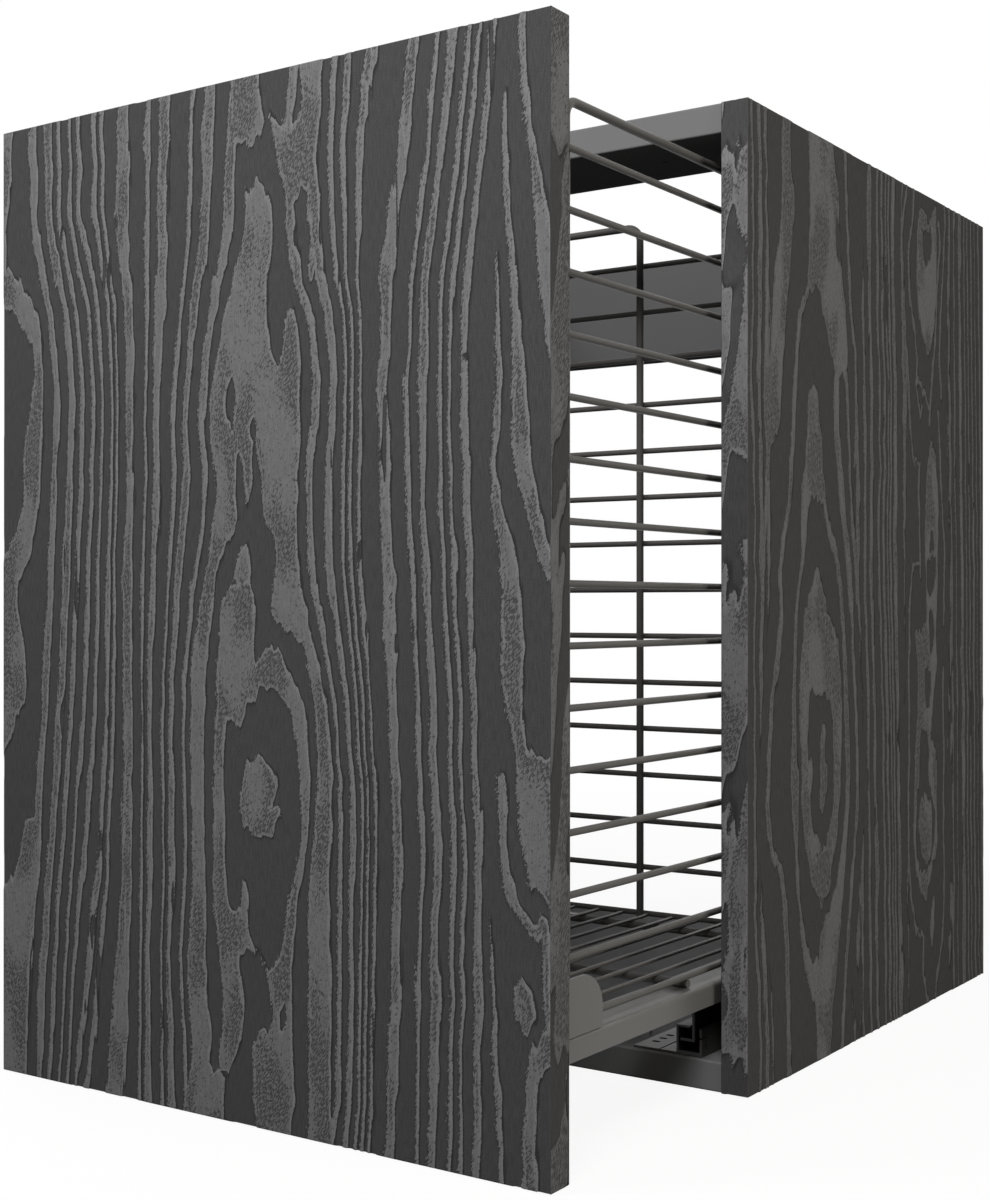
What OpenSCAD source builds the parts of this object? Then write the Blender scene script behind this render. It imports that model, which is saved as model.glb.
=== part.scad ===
// Pull out larder unit: a floor cabinet open at the back, with a front that carries a deep
// wire basket on two ball-bearing runners.
// Origin: centre of the underside of the carcass. X to the right, Y to the back, Z up.
// The unit is drawn partly pulled out, by rest_opening.

/* [Carcass] */
// Overall width of the carcass
carcass_w = 512; // [480:1:600]
// Overall height of the carcass
carcass_h = 720; // [640:1:760]
// Overall depth of the carcass
carcass_d = 511; // [500:1:600]
// Thickness of the two side panels
side_t = 22; // [16:1:25]
// Thickness of the bottom panel
bottom_t = 22; // [18:1:25]
// Thickness of the front top rail and of the rear rail
rail_board_t = 22; // [18:1:25]
// Depth of the front top rail from front to back
front_rail_d = 98; // [80:1:140]
// Height of the rear rail
rear_rail_h = 103; // [80:1:140]
// Setback of the smooth boards behind the front edges of the side panels
front_setback = 2; // [0.5:0.5:4]
// Radius of the eased edges on the smooth boards
board_edge_r = 1.5; // [0.5:0.25:3]
// Size of the bevel on the edges of the grained boards
panel_bevel = 0.8; // [0.3:0.1:1.5]

/* [Joinery] */
// Diameter of the wooden dowels
dowel_d = 8; // [6:1:10]
// Length of dowel inside the board
dowel_in_board = 18; // [12:1:25]
// Length of dowel, and of bolt thread, inside the side panel
depth_in_side = 11; // [8:1:13]
// Diameter of the cam housings
cam_d = 15; // [12:1:18]
// Height of the cam housings
cam_h = 14.5; // [14:0.5:16]
// Depth of the cam bolts below the face that the cams sit in
cam_line = 11; // [8:0.5:11]
// Distance from a board's end to the middle of its cam
cam_inset = 24; // [20:1:34]
// Diameter of the cam bolts
cam_bolt_d = 6; // [5:0.5:7]
// Distance of the outer dowels in the bottom panel from the carcass's front and back
dowel_edge = 51; // [30:1:65]
// Distance of the cams in the bottom panel from the carcass's front and back
cam_edge = 87; // [80:1:120]
// Distance of the dowels and cams of a rail from the rail's middle
rail_joint_offset = 30; // [15:1:31]
// Clearance round pins, screws and bolts in their holes, on the radius
fit_gap = 0.05; // [0.03:0.01:0.1]
// Diameter of the holes for worktop and wall screws
fixing_hole_d = 5; // [4:0.5:6]
// Distance between the two worktop holes, and between the two wall holes
fixing_pitch = 320; // [200:1:360]
// Diameter of the blind holes for feet in the underside
foot_hole_d = 10; // [8:1:12]
// Depth of the blind holes for feet
foot_hole_depth = 13; // [8:1:15]
// Distance of the foot holes from the carcass edges
foot_inset = 72; // [50:1:90]

/* [Front] */
// Thickness of the front
front_t = 22; // [18:1:25]
// Width of side panel that shows on each side of the front
front_side_gap = 8; // [2:1:10]
// Height of carcass that shows above the front
front_top_gap = 5; // [2:1:8]
// Diameter of the buffers on the back of the front
buffer_d = 8; // [6:1:12]
// Diameter of the buffers where they touch the carcass
buffer_end_d = 6.4; // [4:0.1:7]
// Thickness of the buffers, which is the gap left when the unit is shut
buffer_t = 2; // [1.5:0.5:3]
// Distance of the buffers from the top and bottom of the front
buffer_inset = 30; // [15:1:60]
// How far the unit stands pulled out from its shut place
rest_opening = 227.3; // [20:0.1:440]

/* [Runners] */
// Length of the runners, which is also their full travel
runner_len = 450; // [400:10:470]
// Setback of the fixed runner members behind the front of the carcass
runner_setback = 5.5; // [4:0.5:10]
// Gap between a side panel and the tray rail beside it
rail_side_gap = 6; // [4:0.5:10]
// Width of the tray rails
rail_w = 34.6; // [33:0.1:40]
// Height of the underside of the tray rails' outer wall
rail_bottom_z = 64; // [60:0.5:68]
// Height of the top of the tray rails
rail_top_z = 79.8; // [78:0.1:84]
// Sheet thickness of the tray rails
rail_sheet = 1.6; // [1:0.1:2]
// Outer radius of the tray rails' upper edge
rail_edge_r = 3; // [2:0.5:5]
// Depth of the return flange under the outer wall of a tray rail
rail_return = 8; // [5:0.5:10]
// Height of the lower edge of the tray rails' inner wall above the slide's lower edge
rail_wall_rise = 2; // [0.5:0.5:6]
// Height of a slide, over its outer member
slide_h = 24; // [22:0.5:25]
// Thickness of a slide, over its three members
slide_w = 12.7; // [12:0.1:14]
// Sheet thickness of the slide members
slide_sheet = 1.2; // [1:0.1:1.4]
// Gap between a slide and the top of the tray rail over it
slide_top_gap = 1.2; // [0.8:0.1:2]
// Diameter of the balls between the outer and the middle member
outer_ball_d = 3.5; // [3:0.1:3.6]
// Diameter of the balls between the middle and the inner member
inner_ball_d = 3; // [2.6:0.1:3.2]
// Clearance of the balls in their races
race_gap = 0.05; // [0.03:0.01:0.1]
// Depth of the ball races
race_depth = 0.5; // [0.3:0.05:0.6]
// Balls in each row
balls_per_row = 10; // [4:1:12]
// Distance between balls in a row
ball_pitch = 20; // [10:1:22]
// Sheet thickness of the ball cages
cage_sheet = 0.5; // [0.4:0.05:0.6]
// Diameter of the pressed buttons that stop the ball cages
cage_stop_d = 4; // [3:0.5:5]
// Distance of those buttons from the ends of their member
cage_stop_inset = 6; // [4:0.5:8]
// Diameter of the rivets that hold the slides
slide_rivet_d = 4; // [3:0.5:4.5]
// Diameter of the heads of those rivets
slide_rivet_head_d = 6; // [5.5:0.5:6.5]

/* [Runner base] */
// Width of the base plates
base_w = 57; // [50:1:64]
// Sheet thickness of the base plates
base_sheet = 1.8; // [1.5:0.1:2.5]
// Height of the base plates' turned-up outer flange, from the plate's underside
base_flange_h = 21; // [16:0.5:24]
// Gap between the upright and the base plate's outer flange, over the flange
upright_flange_gap = 5.9; // [3:0.1:8]
// Width of the runner channel
channel_w = 19.2; // [17:0.1:21]
// Height of the runner channel
channel_h = 20.5; // [18:0.5:22]
// Sheet thickness of the channel
channel_sheet = 1.6; // [1.2:0.1:2]
// Width of the channel's top flange
channel_lip = 11.4; // [8:0.1:12]
// Sheet thickness of the upright
upright_sheet = 2; // [1.5:0.1:2.5]
// Width of the upright's foot
upright_foot = 11.8; // [10:0.1:13]
// Height of the underside of the upright's foot above the channel floor
spacer_h = 7.4; // [5:0.1:9]
// Diameter of the spacers under the upright
spacer_d = 8; // [6:0.5:9]
// Diameter of the rivet ends of the spacers
rivet_d = 4; // [3:0.5:5]
// Diameter of the heads of those rivet ends
rivet_head_d = 7; // [6:0.5:8]
// Height of all the rivet heads
rivet_head_h = 1.4; // [0.8:0.1:2]
// Spacers along each upright
spacer_count = 3; // [2:1:5]
// Distance from the ends of the runner to the first and last spacer
spacer_inset = 70; // [40:5:120]
// Distance of the oval slots from a base plate's inner edge
slot_edge = 8.9; // [6:0.1:12]
// Distance from the end of a base plate to its first oval slot
slot_inset = 18; // [10:1:25]
// Length of the oval slots in the base plates
slot_len = 7; // [6:0.5:10]
// Width of the oval slots in the base plates
slot_w = 4; // [3:0.5:4.5]
// Distance from one oval slot to the next
slot_pitch = 11; // [8:0.5:14]
// Oval slots at each end of a base plate
slot_count = 3; // [1:1:5]
// Distance of the front slit from a base plate's inner edge
slit_edge = 21; // [18:0.5:30]
// Length of the front slit in a base plate
slit_len = 46; // [20:1:60]
// Width of the slits in the base plates and in their flanges
slit_w = 1.5; // [1:0.1:2.5]
// Length of the slit in a base plate's flange
flange_slit_len = 9; // [6:0.5:14]
// Height of that slit above the bottom panel
flange_slit_rise = 13; // [9:0.5:14]
// Diameter of the hole below that slit
flange_hole_d = 2.4; // [1.5:0.1:3]
// Height of the middle of that hole above the bottom panel
flange_hole_rise = 6; // [5:0.5:7]
// Diameter of the shanks of the base plate screws
base_screw_d = 4; // [3:0.5:5]
// Length of the base plate screws in the bottom panel
base_screw_len = 14; // [10:1:15]
// Screws along each base plate
base_screw_count = 3; // [2:1:5]
// Height of the screw heads
screw_head_h = 2; // [1.5:0.1:2.5]

/* [Basket] */
// Depth of the basket between its wire centres
basket_d = 400; // [340:1:410]
// Gap between the back of the front and the basket's front wires
basket_front_gap = 8.7; // [7:0.1:12]
// Distance of the basket's side wires inside the outer faces of the tray rails
basket_side_inset = 8.2; // [7:0.1:12]
// Distance from one hoop to the next
hoop_pitch = 40; // [32:1:50]
// Diameter of the hoop wires
hoop_d = 4.8; // [4:0.1:5.5]
// Corner radius of the hoops, at the wire's centre
hoop_corner_r = 18; // [12:1:30]
// Diameter of the bent frame wires
frame_d = 6.3; // [5:0.1:7]
// Bend radius of the frame wires, at the wire's centre
frame_bend_r = 12; // [8:1:20]
// Gap between the top of the basket and the front top rail
basket_top_gap = 13.3; // [8:0.1:30]
// Least height of the frames' top above the highest hoop
frame_rise = 24; // [12:1:36]
// Distance of the side frames' legs from the front and back wires
side_leg_inset = 40; // [25:1:80]
// Distance between the two legs of the front frame, and of the back frame
end_leg_spread = 136; // [80:1:300]
// Length of end frame leg below the middle of the lowest hoop
end_leg_tail = 3.8; // [1:0.1:4]
// Diameter of the cross wires under the floor
cross_d = 6; // [5:0.1:7]
// Length of cross wire that shows past the middle of the hoops
cross_end = 1.2; // [0:0.1:3]
// Distance from one cross wire to the next
cross_pitch = 177; // [100:1:180]
// Distance of the last cross wire from the back of the basket
cross_back_inset = 28; // [20:1:35]
// Number of cross wires
cross_count = 3; // [2:1:3]
// Diameter of the thin floor wires
floor_wire_d = 3; // [2:0.1:3.5]
// Number of spaces between floor wires across the basket
floor_spaces = 18; // [8:1:24]
// Gap left between wires that are welded where they cross
weld_gap = 0.05; // [0.03:0.01:0.1]

/* [Front brackets] */
// Sheet thickness of the front brackets
bracket_sheet = 2; // [1.5:0.1:3]
// Length of the brackets along the tray rails
bracket_len = 72.8; // [50:0.1:90]
// Height of the brackets above the tray rails
bracket_rise = 37.6; // [30:0.1:50]
// Radius of the brackets' rounded corner
bracket_corner_r = 25; // [10:1:30]
// Width of the brackets' plates behind the front
bracket_plate_w = 42; // [38:1:50]
// Radius of the corners of the brackets' plates
plate_corner_r = 2; // [0.5:0.5:5]
// Height of the underside of the brackets' plates
bracket_bottom_z = 56; // [50:1:60]
// Diameter of the shanks of the front screws
front_screw_d = 4; // [3:0.5:5]
// Length of the front screws inside the front
front_screw_len = 14; // [10:1:16]
// Height of the bracket screws above the tray rails
bracket_screw_rises = [11, 28]; // [5:1:35]
// Width of the upper clips
clip_w = 34; // [32:1:44]
// Height of the upper clips
clip_h = 24; // [14:1:28]
// Thickness of the upper clips behind the legs they hold
clip_back_t = 2.5; // [1.5:0.5:5]
// Hoop space that holds the upper clips, counted from the top
clip_space = 2; // [1:1:4]
// Diameter of the stop screws in the tray rails
stop_screw_d = 3; // [2:0.5:4]
// Length of stop screw that hangs below a tray rail
stop_screw_tip = 5.3; // [3:0.1:8]
// Distance of the stop screws behind the front
stop_screw_y = 146; // [80:1:300]

/* [Hidden] */
// Faces on round pieces in the preview
$fn = 48;
wire_fn = 24;
ball_fn = 20;
// How far a cut runs past the face it opens
cut = 1;

// Carcass
inner_x = carcass_w / 2 - side_t;
front_y = -carcass_d / 2;
back_y = carcass_d / 2;
board_front_y = front_y + front_setback;
front_rail_z = carcass_h - rail_board_t;
front_rail_mid_y = board_front_y + front_rail_d / 2;
rear_rail_front_y = back_y - rail_board_t;
rear_rail_z = carcass_h - rear_rail_h;
rear_rail_mid_z = carcass_h - rear_rail_h / 2;

// Points of the joints at a board's end: [y, z]
bottom_dowel_y = carcass_d / 2 - dowel_edge;
bottom_cam_y = carcass_d / 2 - cam_edge;
dowel_points = [
    [-bottom_dowel_y, bottom_t / 2],
    [0, bottom_t / 2],
    [bottom_dowel_y, bottom_t / 2],
    [front_rail_mid_y + rail_joint_offset, front_rail_z + rail_board_t / 2],
    [rear_rail_front_y + rail_board_t / 2, rear_rail_mid_z - rail_joint_offset]
];
bottom_cams = [[-bottom_cam_y, 0], [bottom_cam_y, 0]];
front_rail_cams = [[front_rail_mid_y - rail_joint_offset, carcass_h]];
rear_rail_cams = [[back_y, rear_rail_mid_z + rail_joint_offset]];

// Cams, with a crossed slot, and the head and neck of their bolts
cam_bore_d = cam_bolt_d + 2;
cam_slot_len = 0.6 * cam_d;
cam_slot_w = 1.4;
cam_slot_depth = 1.8;
bolt_neck_d = cam_bolt_d - 2;
bolt_neck_len = 7;
bolt_head_len = 5;
bolt_head_past_cam = 2;

// Front
front_panel_x = carcass_w / 2 - front_side_gap;
front_panel_h = carcass_h - front_top_gap;
front_back_y = front_y - buffer_t - rest_opening;

// Fixed runner members
runner_y = front_y + runner_setback;
runner_end_y = runner_y + runner_len;
rail_outer_x = inner_x - rail_side_gap;
rail_inner_x = rail_outer_x - rail_w;
slide_inner_x = rail_inner_x + rail_sheet;
slide_outer_x = slide_inner_x + slide_w;
slide_mid_z = rail_top_z - rail_sheet - slide_top_gap - slide_h / 2;
upright_outer_x = slide_outer_x + upright_sheet;
base_outer_x = upright_outer_x + upright_flange_gap;
channel_x = base_outer_x - base_sheet - channel_w;
channel_z = bottom_t + base_sheet;
channel_floor_z = channel_z + channel_sheet;
upright_foot_z = channel_floor_z + spacer_h;
upright_top_z = slide_mid_z + slide_h / 2;
rail_wall_z = slide_mid_z - slide_h / 2 + rail_wall_rise;
foot_x = upright_outer_x - upright_foot;
spacer_x = foot_x + upright_foot / 2 - upright_sheet / 2;
spacer_step = (runner_len - 2 * spacer_inset) / (spacer_count - 1);
base_x = base_outer_x - base_w;
slot_x = base_x + slot_edge;
slit_x = base_x + slit_edge;
flange_slit_z = bottom_t + flange_slit_rise;
flange_hole_z = bottom_t + flange_hole_rise;
base_screw_step = runner_len / (base_screw_count + 1);
screw_slot_w = 0.8;

// Slide section, measured from the outer member's back and up from the slide's middle
cage_margin = 0.15;
cage_land = 0.4;
cage_lip_gap = 0.35;
outer_lip_gap = 0.9;
middle_lip_gap = 0.3;
outer_lip = 1;
middle_lip = 0.6;
outer_ball_inset = 3.1;
inner_ball_inset = 4.2;
race_floor_share = 0.72;
rivet_tail_h = 1;
outer_face_v = slide_h / 2 - slide_sheet;
outer_ball_v = outer_face_v + race_depth - race_gap - outer_ball_d / 2;
middle_top_v = outer_ball_v - outer_ball_d / 2 - race_gap + race_depth;
middle_face_v = middle_top_v - slide_sheet;
inner_ball_v = middle_face_v + race_depth - race_gap - inner_ball_d / 2;
inner_top_v = inner_ball_v - inner_ball_d / 2 - race_gap + race_depth;
middle_back_u = slide_sheet + cage_sheet + 2 * cage_margin;
inner_lip_u = middle_back_u + slide_sheet + cage_margin + cage_sheet + cage_lip_gap;
outer_lip_u = slide_w - slide_sheet - outer_lip_gap;
middle_lip_u = slide_w - slide_sheet - middle_lip_gap;
outer_ball_u = middle_back_u + outer_ball_inset;
inner_ball_u = inner_lip_u + inner_ball_inset;

// Places along the travel
middle_shift = rest_opening / 2;
outer_cage_shift = rest_opening / 4;
inner_cage_shift = rest_opening * 3 / 4;
cage_len = balls_per_row * ball_pitch;
cage_mid_y = runner_y + runner_len / 2;

// Basket
hoop_x = rail_outer_x - basket_side_inset;
basket_front_y = front_back_y + basket_front_gap;
basket_back_y = basket_front_y + basket_d;
cross_z = rail_top_z + weld_gap + cross_d / 2;
floor_top_z = cross_z + cross_d / 2 + weld_gap;
first_hoop_z = floor_top_z + hoop_d / 2;
frame_top_z = front_rail_z - basket_top_gap - frame_d / 2;
hoop_count = floor((frame_top_z - frame_rise - first_hoop_z) / hoop_pitch) + 1;
wire_seat = hoop_d / 2 + frame_d / 2 + weld_gap;
side_frame_x = hoop_x - wire_seat;
side_leg_front_y = basket_front_y + side_leg_inset;
side_leg_back_y = basket_back_y - side_leg_inset;
end_leg_z = first_hoop_z - end_leg_tail;
floor_wire_step = 2 * hoop_x / floor_spaces;
clip_mid_z = first_hoop_z + (hoop_count - clip_space - 0.5) * hoop_pitch;

// Brackets
tray_front_y = front_back_y + bracket_sheet;
tray_back_y = runner_end_y - rest_opening;
bracket_screw_x = rail_outer_x - bracket_plate_w / 2;
stop_y = front_back_y + stop_screw_y;
stop_x = rail_outer_x - (rail_sheet + rail_return) / 2;
screw_head_room = 0.5;
clip_screw_room_d = 2 * front_screw_d + 2 * screw_head_room;
clip_end_wall = 1;
clip_screw_x = clip_w / 2 - clip_end_wall - clip_screw_room_d / 2;

grained = [0.24, 0.24, 0.25];
laminate = [0.30, 0.30, 0.31];
beech = [0.78, 0.62, 0.42];
zinc = [0.62, 0.62, 0.64];
black_steel = [0.07, 0.07, 0.08];
coated_steel = [0.40, 0.39, 0.37];
wire_grey = [0.34, 0.33, 0.32];
ball_steel = [0.80, 0.81, 0.83];
buffer_grey = [0.75, 0.75, 0.74];

HOOPS = [for (i = [1 : hoop_count]) str("hoop_", i)];

// ---------- Shared shapes ----------

// Draws its children on the right, or mirrored on the left
module on_side(side) {
    mirror([side == "left" ? 1 : 0, 0, 0]) children();
}

// Draws its children on both sides
module on_both_sides() {
    on_side("left") children();
    on_side("right") children();
}

// Extrudes an X-Z section from y0 to y1
module along_y(y0, y1) {
    translate([0, y1, 0]) rotate([90, 0, 0]) linear_extrude(y1 - y0) children();
}

// Extrudes a Y-Z section from x0 to x1
module along_x(x0, x1) {
    translate([x0, 0, 0]) rotate([90, 0, 90]) linear_extrude(x1 - x0) children();
}

// Rectangle with bevelled corners
module bevelled_rect(x0, x1, y0, y1, b) {
    polygon([
        [x0 + b, y0], [x1 - b, y0], [x1, y0 + b], [x1, y1 - b],
        [x1 - b, y1], [x0 + b, y1], [x0, y1 - b], [x0, y0 + b]
    ]);
}

// Rectangle with round corners
module round_rect(x0, x1, y0, y1, r) {
    translate([x0 + r, y0]) square([x1 - x0 - 2 * r, y1 - y0]);
    translate([x0, y0 + r]) square([x1 - x0, y1 - y0 - 2 * r]);
    for (x = [x0 + r, x1 - r], y = [y0 + r, y1 - r]) translate([x, y]) circle(r);
}

// Board with bevelled edges all round, standing across X, Y and Z
module bevelled_board(x0, x1, y0, y1, z0, z1, b) {
    intersection() {
        translate([0, 0, z0]) linear_extrude(z1 - z0) bevelled_rect(x0, x1, y0, y1, b);
        along_y(y0 - cut, y1 + cut) bevelled_rect(x0, x1, z0, z1, b);
        along_x(x0 - cut, x1 + cut) bevelled_rect(y0, y1, z0, z1, b);
    }
}

module rod_x(x0, x1, y, z, d, fn = wire_fn) {
    translate([x0, y, z]) rotate([0, 90, 0]) cylinder(h = x1 - x0, d = d, $fn = fn);
}

module rod_y(y0, y1, x, z, d, fn = wire_fn) {
    translate([x, y1, z]) rotate([90, 0, 0]) cylinder(h = y1 - y0, d = d, $fn = fn);
}

module rod_z(z0, z1, x, y, d, fn = wire_fn) {
    translate([x, y, z0]) cylinder(h = z1 - z0, d = d, $fn = fn);
}

// Quarter bend of wire about the origin, from +X to +Y
module wire_bend(r, d) {
    rotate_extrude(angle = 90, $fn = 4 * wire_fn) translate([r, 0]) circle(d = d, $fn = wire_fn);
}

// Inverted U of wire across X, with its feet at z0
module bent_frame(spread, z0, z1, r, d) {
    half = spread / 2;
    for (s = [0, 1]) mirror([s, 0, 0]) {
        rod_z(z0, z1 - r, half, 0, d);
        translate([half - r, 0, z1 - r]) rotate([90, 0, 0]) wire_bend(r, d);
        rod_x(0, half - r, 0, z1, d);
    }
}

// ---------- Joinery of the carcass ----------

// Draws its children at both ends of the boards, with +X into the side panel
module at_board_ends(points) {
    on_both_sides() for (p = points) translate([inner_x, p[0], p[1]]) children();
}

module dowel_shapes(grow) {
    at_board_ends(dowel_points)
        rod_x(-dowel_in_board - grow, depth_in_side + grow, 0, 0, dowel_d + 2 * grow);
}

// Draws its children at each cam's bolt line, with -Z out of the face the cam sits in
module at_cams(cams, turn) {
    at_board_ends(cams) rotate(turn) translate([0, 0, cam_line]) children();
}

module at_all_cams() {
    at_cams(bottom_cams, [0, 0, 0]) children();
    at_cams(front_rail_cams, [180, 0, 0]) children();
    at_cams(rear_rail_cams, [90, 0, 0]) children();
}

module cam_housing() {
    difference() {
        translate([-cam_inset, 0, -cam_line]) cylinder(h = cam_h - fit_gap, d = cam_d);
        rod_x(-cam_inset - cam_bolt_d, 0, 0, 0, cam_bore_d);
        translate([-cam_inset, 0, -cam_line]) for (a = [0, 90])
            rotate(a) cube([cam_slot_len, cam_slot_w, 2 * cam_slot_depth], center = true);
    }
}

// Bolt with a head inside the cam, a thin neck and a thick end in the side panel
module cam_bolt() {
    head_x = -cam_inset - bolt_head_past_cam;
    neck_x = head_x + bolt_head_len;
    shank_x = neck_x + bolt_neck_len;
    rod_x(head_x, neck_x, 0, 0, cam_bolt_d);
    rod_x(neck_x, shank_x, 0, 0, bolt_neck_d);
    rod_x(shank_x, depth_in_side, 0, 0, cam_bolt_d);
}

// Holes in the smooth boards
module board_joinery() {
    dowel_shapes(fit_gap);
    at_all_cams() {
        translate([-cam_inset, 0, -cam_line - cut])
            cylinder(h = cam_h + cut, d = cam_d + 2 * fit_gap);
        rod_x(-cam_inset, cut, 0, 0, cam_bore_d);
    }
}

// Holes in the side panels
module side_joinery() {
    dowel_shapes(fit_gap);
    at_all_cams() rod_x(-cut, depth_in_side + fit_gap, 0, 0, cam_bolt_d + 2 * fit_gap);
}

module dowels() {
    color(beech) dowel_shapes(0);
}

module cam_housings() {
    color(zinc) at_all_cams() cam_housing();
}

module cam_bolts() {
    color(zinc) at_all_cams() cam_bolt();
}

// ---------- Carcass boards ----------

module side_panel(side) {
    color(grained) difference() {
        on_side(side)
            bevelled_board(inner_x, carcass_w / 2, front_y, back_y, 0, carcass_h, panel_bevel);
        side_joinery();
    }
}

module bottom_panel() {
    color(laminate) difference() {
        along_x(-inner_x, inner_x)
            round_rect(board_front_y, back_y, 0, bottom_t, board_edge_r);
        board_joinery();
        base_screw_shapes(fit_gap);
        for (x = [-1, 1], y = [-1, 1])
            rod_z(-cut, foot_hole_depth, x * (carcass_w / 2 - foot_inset),
                y * (carcass_d / 2 - foot_inset), foot_hole_d);
    }
}

module front_top_rail() {
    color(laminate) difference() {
        along_x(-inner_x, inner_x) round_rect(
            board_front_y, board_front_y + front_rail_d, front_rail_z, carcass_h, board_edge_r);
        board_joinery();
        for (s = [-1, 1]) rod_z(front_rail_z - cut, carcass_h + cut,
            s * fixing_pitch / 2, front_rail_mid_y, fixing_hole_d);
    }
}

module rear_rail() {
    color(laminate) difference() {
        along_x(-inner_x, inner_x)
            round_rect(rear_rail_front_y, back_y, rear_rail_z, carcass_h, board_edge_r);
        board_joinery();
        for (s = [-1, 1]) rod_y(rear_rail_front_y - cut, back_y + cut,
            s * fixing_pitch / 2, rear_rail_mid_z, fixing_hole_d);
    }
}

// ---------- Fixed runner members ----------

// Oval hole along X
module slot_2d(len, w) {
    square([len - w, w], center = true);
    for (s = [-1, 1]) translate([s * (len - w) / 2, 0]) circle(d = w);
}

// Screw lines along the base plate: [x, y]
function base_screw_points() =
    [for (i = [1 : base_screw_count]) [slot_x, runner_y + i * base_screw_step]];

// Oval slots at both ends of a base plate
function slot_ys() = [
    for (i = [0 : slot_count - 1], end = [runner_y, runner_end_y])
        end + sign(cage_mid_y - end) * (slot_inset + i * slot_pitch)
];

function spacer_ys() =
    [for (i = [0 : spacer_count - 1]) runner_y + spacer_inset + i * spacer_step];

module base_plate(side) {
    color(zinc) on_side(side) difference() {
        along_y(runner_y, runner_end_y) {
            translate([base_x, bottom_t]) square([base_w, base_sheet]);
            translate([base_outer_x - base_sheet, bottom_t]) square([base_sheet, base_flange_h]);
        }
        for (y = slot_ys()) translate([slot_x, y, bottom_t - cut])
            linear_extrude(base_sheet + 2 * cut) slot_2d(slot_len, slot_w);
        translate([slit_x, runner_y - cut, bottom_t - cut])
            cube([slit_w, slit_len + cut, base_sheet + 2 * cut]);
        translate([base_outer_x - base_sheet - cut, runner_y - cut, flange_slit_z])
            cube([base_sheet + 2 * cut, flange_slit_len + cut, slit_w]);
        rod_x(base_outer_x - base_sheet - cut, base_outer_x + cut, runner_y + flange_slit_len,
            flange_hole_z, flange_hole_d);
        for (p = base_screw_points())
            rod_z(bottom_t - cut, channel_z + cut, p[0], p[1], base_screw_d + 2 * fit_gap);
        for (y = spacer_ys())
            rod_z(bottom_t - cut, channel_z + cut, spacer_x, y, rivet_d + 2 * fit_gap);
    }
}

// Round head with a crossed slot, standing on the origin
module screw_head(shank_d) {
    difference() {
        cylinder(h = screw_head_h, d1 = 2 * shank_d, d2 = 1.5 * shank_d);
        for (a = [0, 90]) rotate(a) translate([0, 0, screw_head_h])
            cube([shank_d, screw_slot_w, screw_head_h], center = true);
    }
}

module base_screw_shapes(grow) {
    on_both_sides() for (p = base_screw_points())
        rod_z(channel_z - base_sheet - base_screw_len - grow, channel_z, p[0], p[1],
            base_screw_d + 2 * grow);
}

module base_plate_screws() {
    color(zinc) {
        base_screw_shapes(0);
        on_both_sides() for (p = base_screw_points())
            translate([p[0], p[1], channel_z]) screw_head(base_screw_d);
    }
}

module runner_channel(side) {
    color(black_steel) on_side(side) difference() {
        along_y(runner_y, runner_end_y) {
            translate([channel_x, channel_z]) square([channel_w, channel_sheet]);
            translate([channel_x, channel_z]) square([channel_sheet, channel_h]);
            translate([channel_x, channel_z + channel_h - channel_sheet])
                square([channel_lip, channel_sheet]);
        }
        for (y = spacer_ys())
            rod_z(channel_z - cut, channel_floor_z + cut, spacer_x, y, rivet_d + 2 * fit_gap);
    }
}

module runner_upright(side) {
    color(black_steel) on_side(side) difference() {
        along_y(runner_y, runner_end_y) {
            translate([foot_x, upright_foot_z]) square([upright_foot, upright_sheet]);
            translate([slide_outer_x, upright_foot_z])
                square([upright_sheet, upright_top_z - upright_foot_z]);
        }
        for (y = spacer_ys()) rod_z(upright_foot_z - cut, upright_foot_z + upright_sheet + cut,
            spacer_x, y, rivet_d + 2 * fit_gap);
        slide_rivet_holes(slide_outer_x, upright_outer_x, 0);
    }
}

module runner_spacers() {
    head_z = upright_foot_z + upright_sheet;
    color(zinc) on_both_sides() for (y = spacer_ys()) {
        rod_z(bottom_t + fit_gap, head_z, spacer_x, y, rivet_d);
        rod_z(channel_floor_z, upright_foot_z, spacer_x, y, spacer_d);
        rod_z(head_z, head_z + rivet_head_h, spacer_x, y, rivet_head_d);
    }
}

// ---------- Slides ----------

// Places a slide section: u runs from the upright towards the basket, v up from the middle
module slide_section(y0, y1) {
    along_y(y0, y1) translate([slide_outer_x, slide_mid_z]) mirror([1, 0]) children();
}

// Places its children along the ball rows, above and below the middle of the right slide
module ball_rows(u, v, mid_y) {
    for (s = [-1, 1], i = [0 : balls_per_row - 1])
        translate([slide_outer_x - u, mid_y + (i - (balls_per_row - 1) / 2) * ball_pitch,
            slide_mid_z + s * v]) children();
}

// Upper half of a C section with a lip, drawn again below
module c_section(u0, u1, top, sheet, lip) {
    for (s = [0, 1]) mirror([0, s]) {
        translate([u0, 0]) square([sheet, top]);
        translate([u0, top - sheet]) square([u1 - u0, sheet]);
        translate([u1 - sheet, top - sheet - lip]) square([sheet, sheet + lip]);
    }
}

// Flat-bottomed race cut into a flange: v is the race's floor, dir points into the metal
module race(u, v, dir, ball) {
    half = race_floor_share * ball / 2;
    for (s = [0, 1]) mirror([0, s]) polygon([
        [u - half, v], [u + half, v],
        [u + half + race_depth, v - dir * race_depth], [u + half + race_depth, v - dir],
        [u - half - race_depth, v - dir], [u - half - race_depth, v - dir * race_depth]
    ]);
}

// Buttons pressed out of a member's web, which stop the cage that rolls along it
module cage_stops(web_u, shift) {
    x = slide_outer_x - web_u;
    for (y = [runner_y + cage_stop_inset, runner_end_y - cage_stop_inset])
        rod_x(x - cage_margin - cage_sheet, x + slide_sheet / 2, y - shift, slide_mid_z,
            cage_stop_d);
}

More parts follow.
